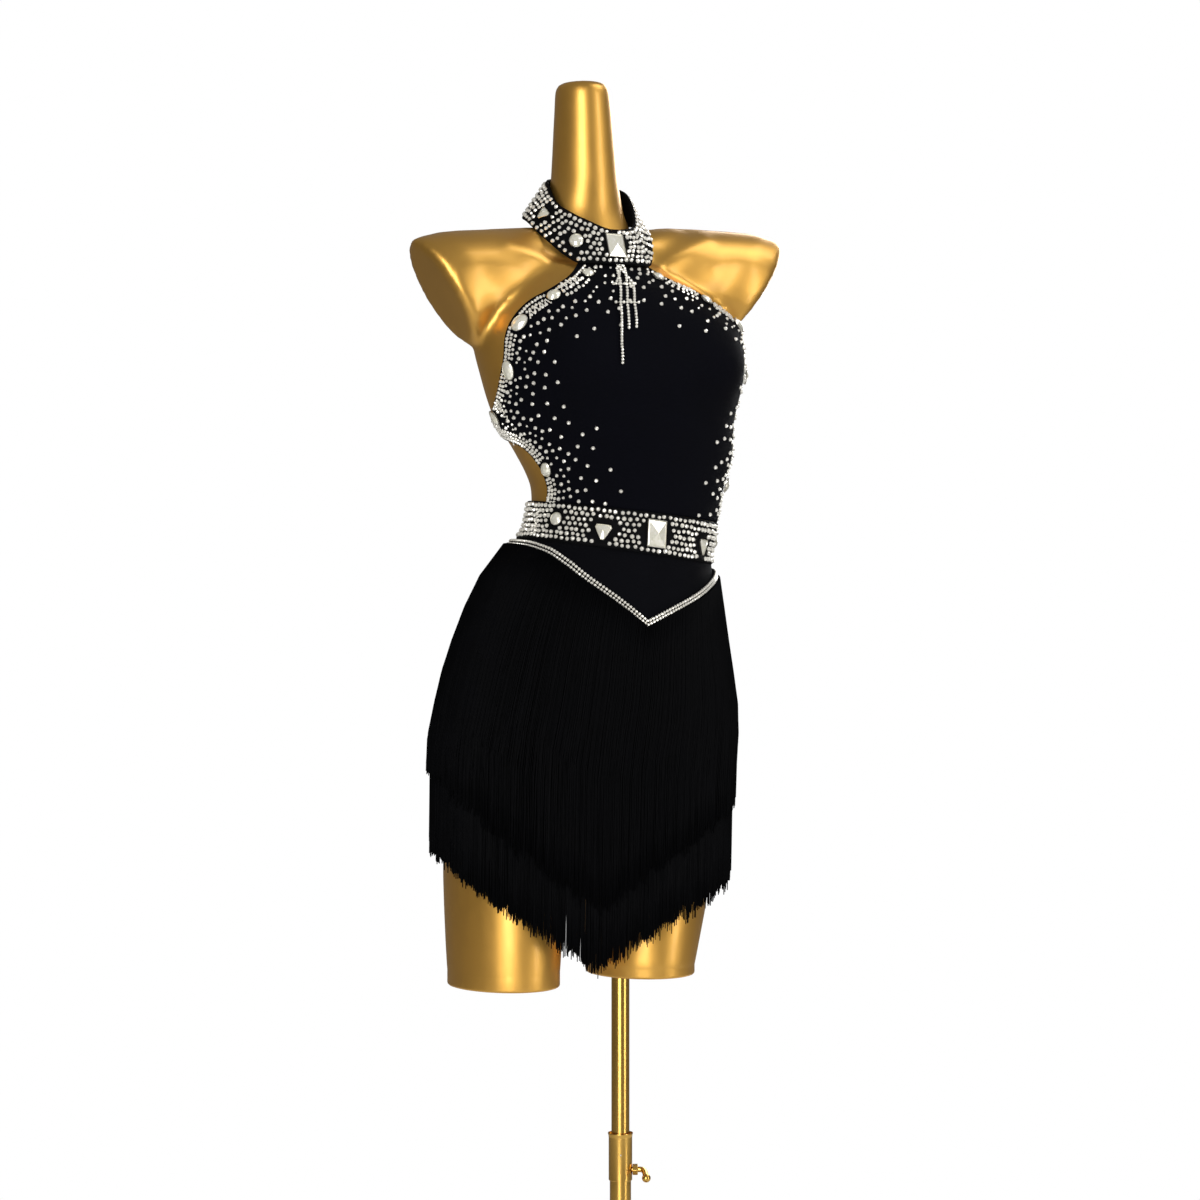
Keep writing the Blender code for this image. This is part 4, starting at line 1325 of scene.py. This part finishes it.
class DRESS_OT_bodice_stones(bpy.types.Operator):
    """Set the stones that thin out from the bodice's edges"""

    bl_idname = "dress.bodice_stones"
    bl_label = "Bodice stones"

    def execute(self, context):
        chance = np.random.default_rng(21)
        gems, room = gem_spots()
        edge, length = edge_line(0)
        for side, sign in SIDES:
            taken = []
            sizes = []
            for inset, pitch in EDGE_ROWS:
                for spot in edge_line(inset, int(length / pitch))[0]:
                    taken.append(spot + chance.normal(0, 0.25, 2))
                    sizes.append(float(chance.uniform(1.55, 2.0)))
            cells = {}
            for spot in taken:
                cells.setdefault((int(spot[0] // 12), int(spot[1] // 12)), []).append(spot)
            darts = chance.uniform((0, BODICE.keys[0] + 3), (240, BODICE.keys[-1] - 3), (30000, 2))
            limit = np.radians(BODICE.at(darts[:, 1])["edge"]) * flat_radius(darts[:, 1])
            darts = darts[darts[:, 0] < limit - 3.4]
            reaches = np.array([np.hypot(darts[:, 0] - x, darts[:, 1] - z) for x, z in edge[::3]])
            away = reaches.min(axis=0)
            nearest = edge[::3][reaches.argmin(axis=0), 1]
            gap = spacing(away * np.interp(nearest, (1290, 1335), (1.0, 1.4)))
            from_collar = (COLLAR_BOTTOM - darts[:, 1] + 8) * 1.5
            gap = np.minimum(gap, spacing(from_collar))
            for dart, room_here, from_edge in zip(darts, gap, away):
                if room_here > 100 or from_edge < 12.6:
                    continue
                near = int(room_here // 12) + 1
                cx, cz = int(dart[0] // 12), int(dart[1] // 12)
                close = False
                for i in range(cx - near, cx + near + 1):
                    for j in range(cz - near, cz + near + 1):
                        for other in cells.get((i, j), ()):
                            if (other[0] - dart[0]) ** 2 + (other[1] - dart[1]) ** 2 < room_here**2:
                                close = True
                if close:
                    continue
                taken.append(dart)
                sizes.append(float(chance.choice((1.3, 1.6, 1.9, 2.2))) if from_edge < 30 else 2.1)
                cells.setdefault((cx, cz), []).append(dart)
            spots = np.array(taken)
            height = spots[:, 1]
            angle = sign * np.degrees(spots[:, 0] / flat_radius(height))
            radius = np.array(sizes)
            origins = bodice_surface(height, angle)
            keep = clear_of(origins, gems, room - 2.2)
            height, angle, radius, origins = height[keep], angle[keep], radius[keep], origins[keep]
            around, outward = surface_axes(bodice_surface, height, angle)
            leaning = tipped(outward, chance, 0.07)
            mesh = arrayed(
                f"bodice_stones_{side}", template(8), origins - leaning * 0.15, around, leaning,
                np.stack((radius, radius * STONE_HEIGHT), axis=1),
            )  # fmt: skip
            new_piece(f"bodice_stones_{side}", mesh, small_crystal(), "dress_form", "stone_band")
        return {"FINISHED"}


def walk(line, pitch):
    """Evenly spaced places along a path in millimetres."""
    length = np.concatenate(([0], np.cumsum(np.linalg.norm(np.diff(line, axis=0), axis=1))))
    count = max(2, int(round(length[-1] / pitch)) + 1)
    even = np.linspace(0, length[-1], count)
    return np.stack([np.interp(even, length, line[:, i]) for i in range(line.shape[1])], axis=1)


# The chain's tape: how far it stands off the knit's gap, and its wall. Then how far each row of
# stones is from its middle, as a share of its width, and the distance from stone to stone for a
# radius of 1.
TAPE_OUT = 0.4
TAPE_WALL = 1.6
ROW_OFFSET = 0.27
CHAIN_PITCH = 2.12


class DRESS_OT_hip_chain(bpy.types.Operator):
    """Lay the two rows of set stones along the top of the fringe"""

    bl_idname = "dress.hip_chain"
    bl_label = "Hip chain"

    def execute(self, context):
        radius = context.scene.dress_sizes.chain_stone / MM / 2
        chance = np.random.default_rng(8)

        def level(angle, edge):
            return np.minimum(chain_line(angle) + edge, BELT_BOTTOM - 0.5)

        def tape(u, v):
            angle = u * 360 - 180
            height = level(angle, (v - 0.5) * CHAIN_WIDTH)
            return trunk_point(height, angle, np.full(np.shape(u), ON_KNIT + TAPE_OUT))

        def surface(height, angle):
            out = ON_KNIT + TAPE_OUT + TAPE_WALL
            return trunk_point(height, angle, np.full(np.shape(height), out))

        mesh = sheet_mesh("chain_tape", 260, 3, tape, (0.8, 0.007), closed=True)
        piece = new_piece("chain_tape", mesh, satin(), "dress_form", "stone_band", "hip_chain")
        thicken(piece, TAPE_WALL)
        settle(piece)
        stones, cups = [], []
        angles = np.linspace(-180, 180, 2881)
        for edge in (-CHAIN_WIDTH * ROW_OFFSET, CHAIN_WIDTH * ROW_OFFSET):
            spots = surface(level(angles, edge), angles)
            length = np.concatenate(([0], np.cumsum(np.linalg.norm(np.diff(spots, axis=0), axis=1))))
            count = int(length[-1] / (radius * CHAIN_PITCH))
            even = np.linspace(0, length[-1], count)[:-1]
            angle = np.interp(even, length, angles)
            height = level(angle, edge)
            around, outward = surface_axes(surface, height, angle)
            origins = surface(height, angle)
            cup, stone = template(8, 0.9, 0.8), template(8)
            cup_size = same_size(len(angle), radius * 0.94, radius * 0.4)
            stone_size = same_size(len(angle), radius * 0.84, radius * 0.8)
            cups.append(arrayed("cups", cup, origins, around, outward, cup_size))
            leaning = tipped(outward, chance, 0.06)
            origins = origins + outward * 0.5
            stones.append(arrayed("stones", stone, origins, around, leaning, stone_size))
        cups = joined(cups, "chain_cups")
        stones = joined(stones, "chain_stones")
        new_piece("chain_cups", cups, silver(), "dress_form", "stone_band")
        new_piece("chain_stones", stones, small_crystal(), "dress_form", "stone_band")
        return {"FINISHED"}


def outline(kind, count):
    """The directions round a stone's outline, and its radius in each for a half width of 1."""
    turn = np.linspace(0, 2 * math.pi, count, endpoint=False)
    if kind == "square":
        return turn + math.pi / 4, np.full(count, math.sqrt(2))
    if kind == "triangle":
        third = (turn - math.pi / 2) % (2 * math.pi / 3) - math.pi / 3
        return turn, 0.56 / np.cos(third) ** 0.92
    if kind == "pear":
        return turn, 0.84 + 0.16 * np.maximum(np.sin(turn), -0.4) ** 3
    return turn, np.ones(count)


# How many corners an outline is drawn with, where that isn't 20, and the levels of a stone and
# of its cup: each one's share of the outline and of the height.
CORNERS = {"square": 4, "triangle": 18}
ROUND_CUT = ((1.0, 0.0), (1.0, 0.34), (0.78, 0.66), (0.45, 0.93), (0.36, 1.0))
POINTED_CUT = ((1.0, 0.0), (1.0, 0.3), (0.9, 0.42), (0.03, 1.0))
CUP = ((1.06, -0.05), (1.07, 0.36), (1.02, 0.46), (0.99, 0.36), (0.99, 0.0))


def ringed(name, kind, levels, size, matrix, closed=False):
    """A mesh of bridged outlines, capped at both ends or closed into a ring. Size is in mm."""
    count = CORNERS.get(kind, 20)
    turn, reach = outline(kind, count)
    width, length, rise = size
    work = bmesh.new()
    rings = []
    for scale, lift in levels:
        ring = []
        for a, r in zip(turn, reach):
            x = math.cos(a) * r * scale * width / 2
            y = math.sin(a) * r * scale * length / 2
            ring.append(work.verts.new((x, y, lift * rise)))
        rings.append([work.edges.new((ring[i - 1], ring[i])) for i in range(count)])
    after = rings[1:]
    if closed:
        after = rings[1:] + rings[:1]
    else:
        work.faces.new([edge.verts[0] for edge in rings[0]])
        work.faces.new([edge.verts[0] for edge in rings[-1]])
    for low, high in zip(rings, after):
        bmesh.ops.bridge_loops(work, edges=low + high)
    bmesh.ops.recalc_face_normals(work, faces=work.faces)
    bmesh.ops.scale(work, verts=work.verts, vec=(MM, MM, MM))
    bmesh.ops.transform(work, verts=work.verts, matrix=matrix)
    return to_mesh(work, name)


def spot_frame(origin, around, outward):
    """A matrix with X round, Y up and Z out of a surface, at a place in millimetres."""
    side = Vector(around).normalized()
    out = Vector(outward).normalized()
    rise = out.cross(side).normalized()
    turn = Matrix((rise.cross(out), rise, out)).transposed().to_4x4()
    return Matrix.Translation(Vector(placed(origin))) @ turn


def set_gem(name, kind, matrix, size, spin):
    """A large stone and its cup as two pieces in place of the part's stone."""
    matrix = matrix @ Matrix.Rotation(math.radians(spin), 4, "Z")
    cut = POINTED_CUT if kind in ("square", "triangle") else ROUND_CUT
    stone = ringed(f"gem_{name}", kind, cut, size, matrix)
    cup = ringed(f"cup_{name}", kind, CUP, size, matrix, closed=True)
    new_piece(f"gem_{name}", stone, large_crystal(), "dress_form", "stone_glass", f"stone_{name}")
    new_piece(f"cup_{name}", cup, silver(), "dress_form", "stone_glass")


class DRESS_OT_gems(bpy.types.Operator):
    """Set the large cut stones in their cups on belt, bodice and collar"""

    bl_idname = "dress.gems"
    bl_label = "Large stones"

    def execute(self, context):
        lift = CLEAR + BAND + GEM_LIFT

        def surface(height, angle):
            return trunk_point(height, angle, np.full(np.shape(height), lift))

        for name, height, angle, kind, width, length, rise, spin in gem_places():
            h, a = np.array([float(height)]), np.array([float(angle)])
            around, outward = surface_axes(surface, h, a, 2.0)
            matrix = spot_frame(surface(h, a)[0], around[0], outward[0])
            set_gem(name, kind, matrix, (width, length, rise), spin)
        for name, angle, level, kind, width, length, rise, spin in COLLAR_GEMS:
            a, r = np.array([float(angle)]), np.array([level])
            around = collar_surface(r, a + 3) - collar_surface(r, a - 3)
            upward = collar_surface(r + 0.1, a) - collar_surface(r - 0.1, a)
            outward = np.cross(around, upward)
            origin = collar_surface(r, a)[0] + unit(outward)[0] * GEM_LIFT
            matrix = spot_frame(origin, around[0], outward[0])
            set_gem(name, kind, matrix, (width, length, rise), spin)
        return {"FINISHED"}


# The radius of the pendant's small stones, and their runs, each from place to place: height
# and angle.
PENDANT_STONE = 1.6
PENDANT_RUNS = (
    ((1398, -1), (1384, 0), (1366, -0.5)),
    ((1398, 13), (1384, 0), (1365, -10)),
    ((1399, 6), (1384, 3), (1366, -4)),
    ((1399, 10), (1383, -3), (1365, -7.5)),
    ((1365, -11), (1366, 0.5)),
    ((1365, -7.8), (1346, -11.6)),
    ((1365, -4.4), (1346, -8.6)),
    ((1366, -0.8), (1346, -5.4)),
    ((1346, -13.6), (1346, -3.4)),
    ((1346, -11.6), (1320, -14.8), (1302, -16.8), (1284, -18.2)),
    ((1346, -8.6), (1320, -11.8)),
    ((1346, -5.4), (1321, -8.6)),
)

# Zigzags of fine set stones beside the large ones: where each is, how it turns from level, how
# long and broad it is, and how many points it has.
ZIGZAGS = (
    # height, angle, turn, length, breadth, points
    (1218, 93, 50, 32, 9, 5),
    (1240, 82, 70, 22, 8, 4),
    (1114, 82, 82, 28, 9, 5),
    (1342, 48, -35, 24, 7, 4),
    (1367, 33, -28, 20, 7, 4),
)


def laid(line, lift):
    """Places along a line of heights and angles, and the directions round and out there."""

    def surface(height, angle):
        return trunk_point(height, angle, np.full(np.shape(height), lift))

    around, outward = surface_axes(surface, line[:, 0], line[:, 1])
    return surface(line[:, 0], line[:, 1]), around, outward


def zigzag_run(height, angle, turn, length, breadth, points, sign):
    """Heights and angles along a zigzag on one side of the body."""
    steps = np.linspace(-0.5, 0.5, points * 2 + 1)
    along = steps * length
    across = np.where(np.arange(len(steps)) % 2, 0.5, -0.5) * breadth
    c, s = math.cos(math.radians(turn)), math.sin(math.radians(turn))
    rise = along * s + across * c
    sideways = along * c - across * s
    reach = flat_radius(np.full(len(steps), float(height)))
    return np.stack((height + rise, sign * (angle + np.degrees(sideways / reach))), axis=1)


class DRESS_OT_zigzags(bpy.types.Operator):
    """Set the zigzags of fine stones on belt and bodice edge"""

    bl_idname = "dress.zigzags"
    bl_label = "Zigzags"

    def execute(self, context):
        chance = np.random.default_rng(17)
        parts = []
        for row in ZIGZAGS:
            on_belt = BELT_BOTTOM < row[0] < BELT_TOP
            lift = CLEAR + (BAND if on_belt else CREPE) + 0.9
            for _, sign in SIDES:
                line = walk(zigzag_run(*row, sign), 2.2)
                origins, around, outward = laid(line, lift)
                size = same_size(len(origins), 1.0, 1.0)
                leaning = tipped(outward, chance, 0.1)
                parts.append(arrayed("run", template(6), origins, around, leaning, size))
                parts.append(cord_mesh("wire", origins, 0.6))
        new_piece("zigzags", joined(parts, "zigzags"), small_crystal(), "dress_form", "stone_band")
        return {"FINISHED"}


class DRESS_OT_pendant(bpy.types.Operator):
    """Hang the pendant's loops and strands of small stones over the bodice"""

    bl_idname = "dress.pendant"
    bl_label = "Pendant"

    def execute(self, context):
        chance = np.random.default_rng(3)
        stones, wires = [], []
        for i, run in enumerate(PENDANT_RUNS):
            line = walk(np.array(run, dtype=float), 3.1)
            origins, around, outward = laid(line, CLEAR + CREPE + 1.0 + 0.5 * (i % 2))
            size = same_size(len(origins), PENDANT_STONE, PENDANT_STONE * STONE_HEIGHT)
            leaning = tipped(outward, chance, 0.08)
            stones.append(arrayed("run", template(7), origins, around, leaning, size))
            wires.append(cord_mesh("wire", origins, 0.45))
        nodes = [f"pendant_strand_{place}" for place in ("left", "middle", "right")]
        stones = joined(stones, "pendant_stones")
        wires = joined(wires, "pendant_wires")
        new_piece("pendant_stones", stones, small_crystal(), "dress_form", "stone_band", *nodes)
        new_piece("pendant_wires", wires, silver(), "dress_form", "stone_band")
        return {"FINISHED"}


# --- the stand --------------------------------------------------------------------------


def spun(name, profile, body, node, steps=96):
    """A round piece about the pole's axis, from a closed profile of radius and height in mm."""
    work = bmesh.new()
    verts = [work.verts.new((radius * MM, 0, height * MM)) for radius, height in profile]
    edges = [work.edges.new((verts[i - 1], verts[i])) for i in range(len(verts))]
    bmesh.ops.spin(
        work, geom=verts + edges, cent=(0, 0, 0), axis=(0, 0, 1), angle=2 * math.pi, steps=steps,
        use_merge=True,
    )  # fmt: skip
    bmesh.ops.remove_doubles(work, verts=work.verts, dist=0.000005)
    bmesh.ops.recalc_face_normals(work, faces=work.faces)
    bmesh.ops.translate(work, verts=work.verts, vec=(POLE_X, 0, 0))
    mesh = to_mesh(work, name)
    mesh.shade_smooth()
    mesh.set_sharp_from_angle(angle=math.radians(28))
    return new_piece(name, mesh, brass(), body, "brass", node)


def heights(node):
    """The lowest and highest level of a node, in millimetres."""
    low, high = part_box(node)
    return low[2] / MM, high[2] / MM


# The stand's two tubes: each piece's name, body, node, outer radius and inner radius.
TUBES = (
    ("pole_tube", "pole", "stand_inner_tube", 9.5, 8.3),
    ("lower_tube", "stand", "stand_outer_tube", 11.2, 9.8),
)

# The clamp: its height, its heading from the wearer's left, negative to the front, the nut that
# it runs in, and its stem's route in millimetres, up, aside and out of the pole.
SCREW_HEIGHT = 444
CLAMP_HEADING = -28
NUT_RADIUS = 6.2
NUT_LENGTH = 5.6
NUT_OUT = 15.5
STEM_RADIUS = 3.0
BALL_RADIUS = 4.6
SCREW_ROUTE = (
    (0, 0, 9.9),
    (0, 0, 21),
    (-0.2, 0.6, 23),
    (-0.8, 2.2, 24.6),
    (-2.2, 6, 25.8),
    (-6, 16, 27),
)
RIVET_HEIGHT = 461
RIVET_OUT = 12.3


class DRESS_OT_stand(bpy.types.Operator):
    """Turn the stand's tubes, sleeve, hub and base, and finish its clamp screw"""

    bl_idname = "dress.stand"
    bl_label = "Stand"

    def execute(self, context):
        for name, body, node, outer, inner in TUBES:
            low, high = heights(node)
            profile = ((outer, low), (outer, high), (inner, high), (inner, low))
            spun(name, profile, body, node)
        bottom, top = heights("stand_sleeve")
        profile = (
            (11.5, bottom), (12.1, bottom), (12.4, bottom + 0.5), (12.4, top - 5), (12.7, top - 2.4),
            (13.2, top - 0.8), (13.1, top), (12.5, top), (12.0, top - 2.6), (11.5, top - 5),
        )  # fmt: skip
        spun("clamp_sleeve", profile, "stand", "stand_sleeve")
        profile = (
            (11.5, 8.3), (24, 8.3), (24, 22), (23.2, 25.2), (21, 27.6), (16, 30.6), (14.4, 32.4),
            (13.6, 34.3), (11.5, 34.3),
        )  # fmt: skip
        spun("base_hub", profile, "stand", "stand_hub")
        profile = (
            (0, 0), (168.4, 0), (169.6, 0.6), (170, 1.8), (170, 5.4), (169.2, 7.0), (167.4, 8), (0, 8),
        )  # fmt: skip
        spun("base_disc", profile, "stand", "stand_base", 128)
        heading = math.radians(CLAMP_HEADING)
        out = Vector((math.cos(heading), math.sin(heading), 0))
        side = out.cross(Vector((0, 0, 1)))
        turn = Matrix((Vector((0, 0, 1)), side, out)).transposed().to_4x4()
        clamp = Matrix.Translation(Vector((POLE_X, 0, SCREW_HEIGHT * MM))) @ turn

        nut = bmesh.new()
        bmesh.ops.create_cone(
            nut, cap_ends=True, segments=6, radius1=NUT_RADIUS * MM, radius2=NUT_RADIUS * MM,
            depth=NUT_LENGTH * MM,
        )  # fmt: skip
        bmesh.ops.bevel(
            nut, geom=nut.edges[:], offset=0.5 * MM, segments=2, profile=0.5, affect="EDGES",
            material=-1,
        )  # fmt: skip
        bmesh.ops.translate(nut, verts=nut.verts, vec=(0, 0, NUT_OUT * MM))
        bmesh.ops.transform(nut, verts=nut.verts, matrix=clamp)
        new_piece("hex_boss", to_mesh(nut, "hex_boss"), brass(), "stand", "brass", "clamp_nut")

        route = [clamp @ (Vector(spot) * MM) for spot in SCREW_ROUTE]
        path = [(spot - SPINE) / MM for spot in route]
        stem = cord_mesh("stem", np.array([spot[:] for spot in path]), STEM_RADIUS, sides=16)
        ball = bmesh.new()
        bmesh.ops.create_uvsphere(ball, u_segments=32, v_segments=20, radius=BALL_RADIUS * MM)
        bmesh.ops.translate(ball, verts=ball.verts, vec=route[-1])
        mesh = joined((stem, to_mesh(ball, "ball")), "clamp_screw")
        mesh.shade_smooth()
        new_piece("clamp_screw", mesh, brass(), "screw", "brass", "thumb_screw")

        rivet = bmesh.new()
        bmesh.ops.create_uvsphere(rivet, u_segments=16, v_segments=10, radius=1.0 * MM)
        toward = Vector((math.sin(heading), -math.cos(heading), 0))
        spot = Vector((POLE_X, 0, RIVET_HEIGHT * MM)) + toward * RIVET_OUT * MM
        bmesh.ops.translate(rivet, verts=rivet.verts, vec=spot)
        mesh = to_mesh(rivet, "sleeve_rivet")
        mesh.shade_smooth()
        new_piece("sleeve_rivet", mesh, steel(), "stand", "brass")
        return {"FINISHED"}


# --- the stage --------------------------------------------------------------------------

# Soft lamps: how far each is before the form and to the camera's right, its height, its width
# and height, its power and its colour. The soft light is the world's strength.
LAMPS = (
    ("key", 2.8, -0.55, 1.2, (1.1, 2.4), 70, (1.0, 0.99, 0.97)),
    ("fill", 1.5, 2.6, 1.1, (0.6, 2.4), 30, (1.0, 0.99, 0.98)),
    ("top", 0.2, 1.5, 2.8, (1.4, 0.9), 15, (1.0, 1.0, 1.0)),
    ("back", -2.2, 1.0, 2.0, (1.2, 1.8), 36, (1.0, 1.0, 1.0)),
)
SOFT_LIGHT = 0.56

# The camera: its heading round the form, and its distance, height and place aside in metres.
CAMERA_HEADING = -28
CAMERA_DISTANCE = 3.0
CAMERA_HEIGHT = 1.044
CAMERA_ASIDE = 0.00105
VIEW_WIDTH = 1.26
LAMP_AIM = 1.2
FLOOR_RADIUS = 1.8


def soft_light(name, place, target, size, power, colour):
    """A large soft lamp that faces a place."""
    lamp = bpy.data.lights.new(name, "AREA")
    lamp.shape = "RECTANGLE"
    lamp.size, lamp.size_y = size
    lamp.energy = power
    lamp.color = colour
    holder = bpy.data.objects.new(name, lamp)
    bpy.context.scene.collection.objects.link(holder)
    holder.location = place
    holder.rotation_euler = (Vector(target) - Vector(place)).to_track_quat("-Z", "Y").to_euler()


def studio_world():
    """A white backdrop to the eye, with softer, uneven light from all round."""
    world = bpy.data.worlds.new("studio")
    bpy.context.scene.world = world
    world.use_nodes = True
    tree = world.node_tree
    tree.nodes.clear()
    where = tree.nodes.new("ShaderNodeTexCoord").outputs["Generated"]
    split = tree.nodes.new("ShaderNodeSeparateXYZ")
    tree.links.new(where, split.inputs[0])
    ramp = tree.nodes.new("ShaderNodeValToRGB")
    tree.links.new(range_node(tree, split.outputs[2], 0, 1), ramp.inputs[0])
    low, high = ramp.color_ramp.elements
    low.color = (0.30, 0.28, 0.25, 1)
    high.color = (0.55, 0.55, 0.55, 1)
    ramp.color_ramp.elements.new(0.25).color = (0.34, 0.33, 0.32, 1)
    unseen = tree.nodes.new("ShaderNodeBackground")
    unseen.inputs["Strength"].default_value = SOFT_LIGHT
    tree.links.new(ramp.outputs[0], unseen.inputs[0])
    seen = tree.nodes.new("ShaderNodeBackground")
    seen.inputs["Color"].default_value = (1, 1, 1, 1)
    seen.inputs["Strength"].default_value = 1.0
    mix = tree.nodes.new("ShaderNodeMixShader")
    tree.links.new(tree.nodes.new("ShaderNodeLightPath").outputs["Is Camera Ray"], mix.inputs[0])
    tree.links.new(unseen.outputs[0], mix.inputs[1])
    tree.links.new(seen.outputs[0], mix.inputs[2])
    tree.links.new(mix.outputs[0], tree.nodes.new("ShaderNodeOutputWorld").inputs[0])


class DRESS_OT_stage(bpy.types.Operator):
    """Lay the floor, light the studio and place the camera"""

    bl_idname = "dress.stage"
    bl_label = "Stage"

    def execute(self, context):
        scene = context.scene
        scene.view_settings.view_transform = "Standard"
        work = bmesh.new()
        bmesh.ops.create_circle(work, cap_ends=True, segments=96, radius=FLOOR_RADIUS)
        mesh = to_mesh(work, "floor")
        floor = bpy.data.objects.new("floor", mesh)
        scene.collection.objects.link(floor)
        finish = Finish("pale floor")
        cloud = noise_node(finish.tree, finish.where, 3, 3.0)
        finish.link(mix_node(finish.tree, cloud, (0.80, 0.80, 0.79), (0.86, 0.86, 0.85)), "Base Color")
        finish.set(Roughness=0.6)
        mesh.materials.append(finish.made)
        studio_world()

        heading = math.radians(CAMERA_HEADING)
        toward = Vector((math.sin(heading), -math.cos(heading), 0))
        right = Vector((math.cos(heading), math.sin(heading), 0))
        target = SPINE + Vector((0, 0, CAMERA_HEIGHT))
        middle = SPINE + Vector((0, 0, LAMP_AIM))
        for name, ahead, aside, height, size, power, colour in LAMPS:
            place = middle + toward * ahead + right * aside
            place.z = height
            soft_light(name, place, middle, size, power, colour)

        camera = bpy.data.cameras.new("camera")
        holder = bpy.data.objects.new("camera", camera)
        scene.collection.objects.link(holder)
        camera.sensor_width = 36
        camera.lens = camera.sensor_width * CAMERA_DISTANCE / VIEW_WIDTH
        holder.location = target + toward * CAMERA_DISTANCE - right * CAMERA_ASIDE
        holder.rotation_euler = (-toward).to_track_quat("-Z", "Y").to_euler()
        scene.camera = holder
        return {"FINISHED"}


# --- panel and registration -------------------------------------------------------------

STEPS = (
    DRESS_OT_stage,
    DRESS_OT_form,
    DRESS_OT_bodice,
    DRESS_OT_collar,
    DRESS_OT_back_strap,
    DRESS_OT_belt,
    DRESS_OT_skirt_base,
    DRESS_OT_fringe,
    DRESS_OT_hip_chain,
    DRESS_OT_belt_stones,
    DRESS_OT_bodice_stones,
    DRESS_OT_gems,
    DRESS_OT_zigzags,
    DRESS_OT_pendant,
    DRESS_OT_stand,
)


class DRESS_PT_panel(bpy.types.Panel):
    """The dress's sizes, colours and steps"""

    bl_idname = "DRESS_PT_panel"
    bl_label = "Fringed halter dress"
    bl_space_type = "VIEW_3D"
    bl_region_type = "UI"
    bl_category = "Dress"

    def draw(self, context):
        for group in (context.scene.dress_sizes, context.scene.dress_colours):
            for name in group.__annotations__:
                self.layout.prop(group, name)
        for step in STEPS:
            self.layout.operator(step.bl_idname)


CLASSES = (DressSizes, DressColours, *STEPS, DRESS_PT_panel)


def register():
    """Make the classes known and give the scene its settings."""
    for cls in CLASSES:
        bpy.utils.register_class(cls)
    bpy.types.Scene.dress_sizes = PointerProperty(type=DressSizes)
    bpy.types.Scene.dress_colours = PointerProperty(type=DressColours)


def unregister():
    """Take the settings and the classes away again."""
    del bpy.types.Scene.dress_colours
    del bpy.types.Scene.dress_sizes
    for cls in reversed(CLASSES):
        bpy.utils.unregister_class(cls)


def main():
    """Run every step in order."""
    register()
    for step in STEPS:
        group, name = step.bl_idname.split(".")
        getattr(getattr(bpy.ops, group), name)()


if __name__ == "__main__":
    main()
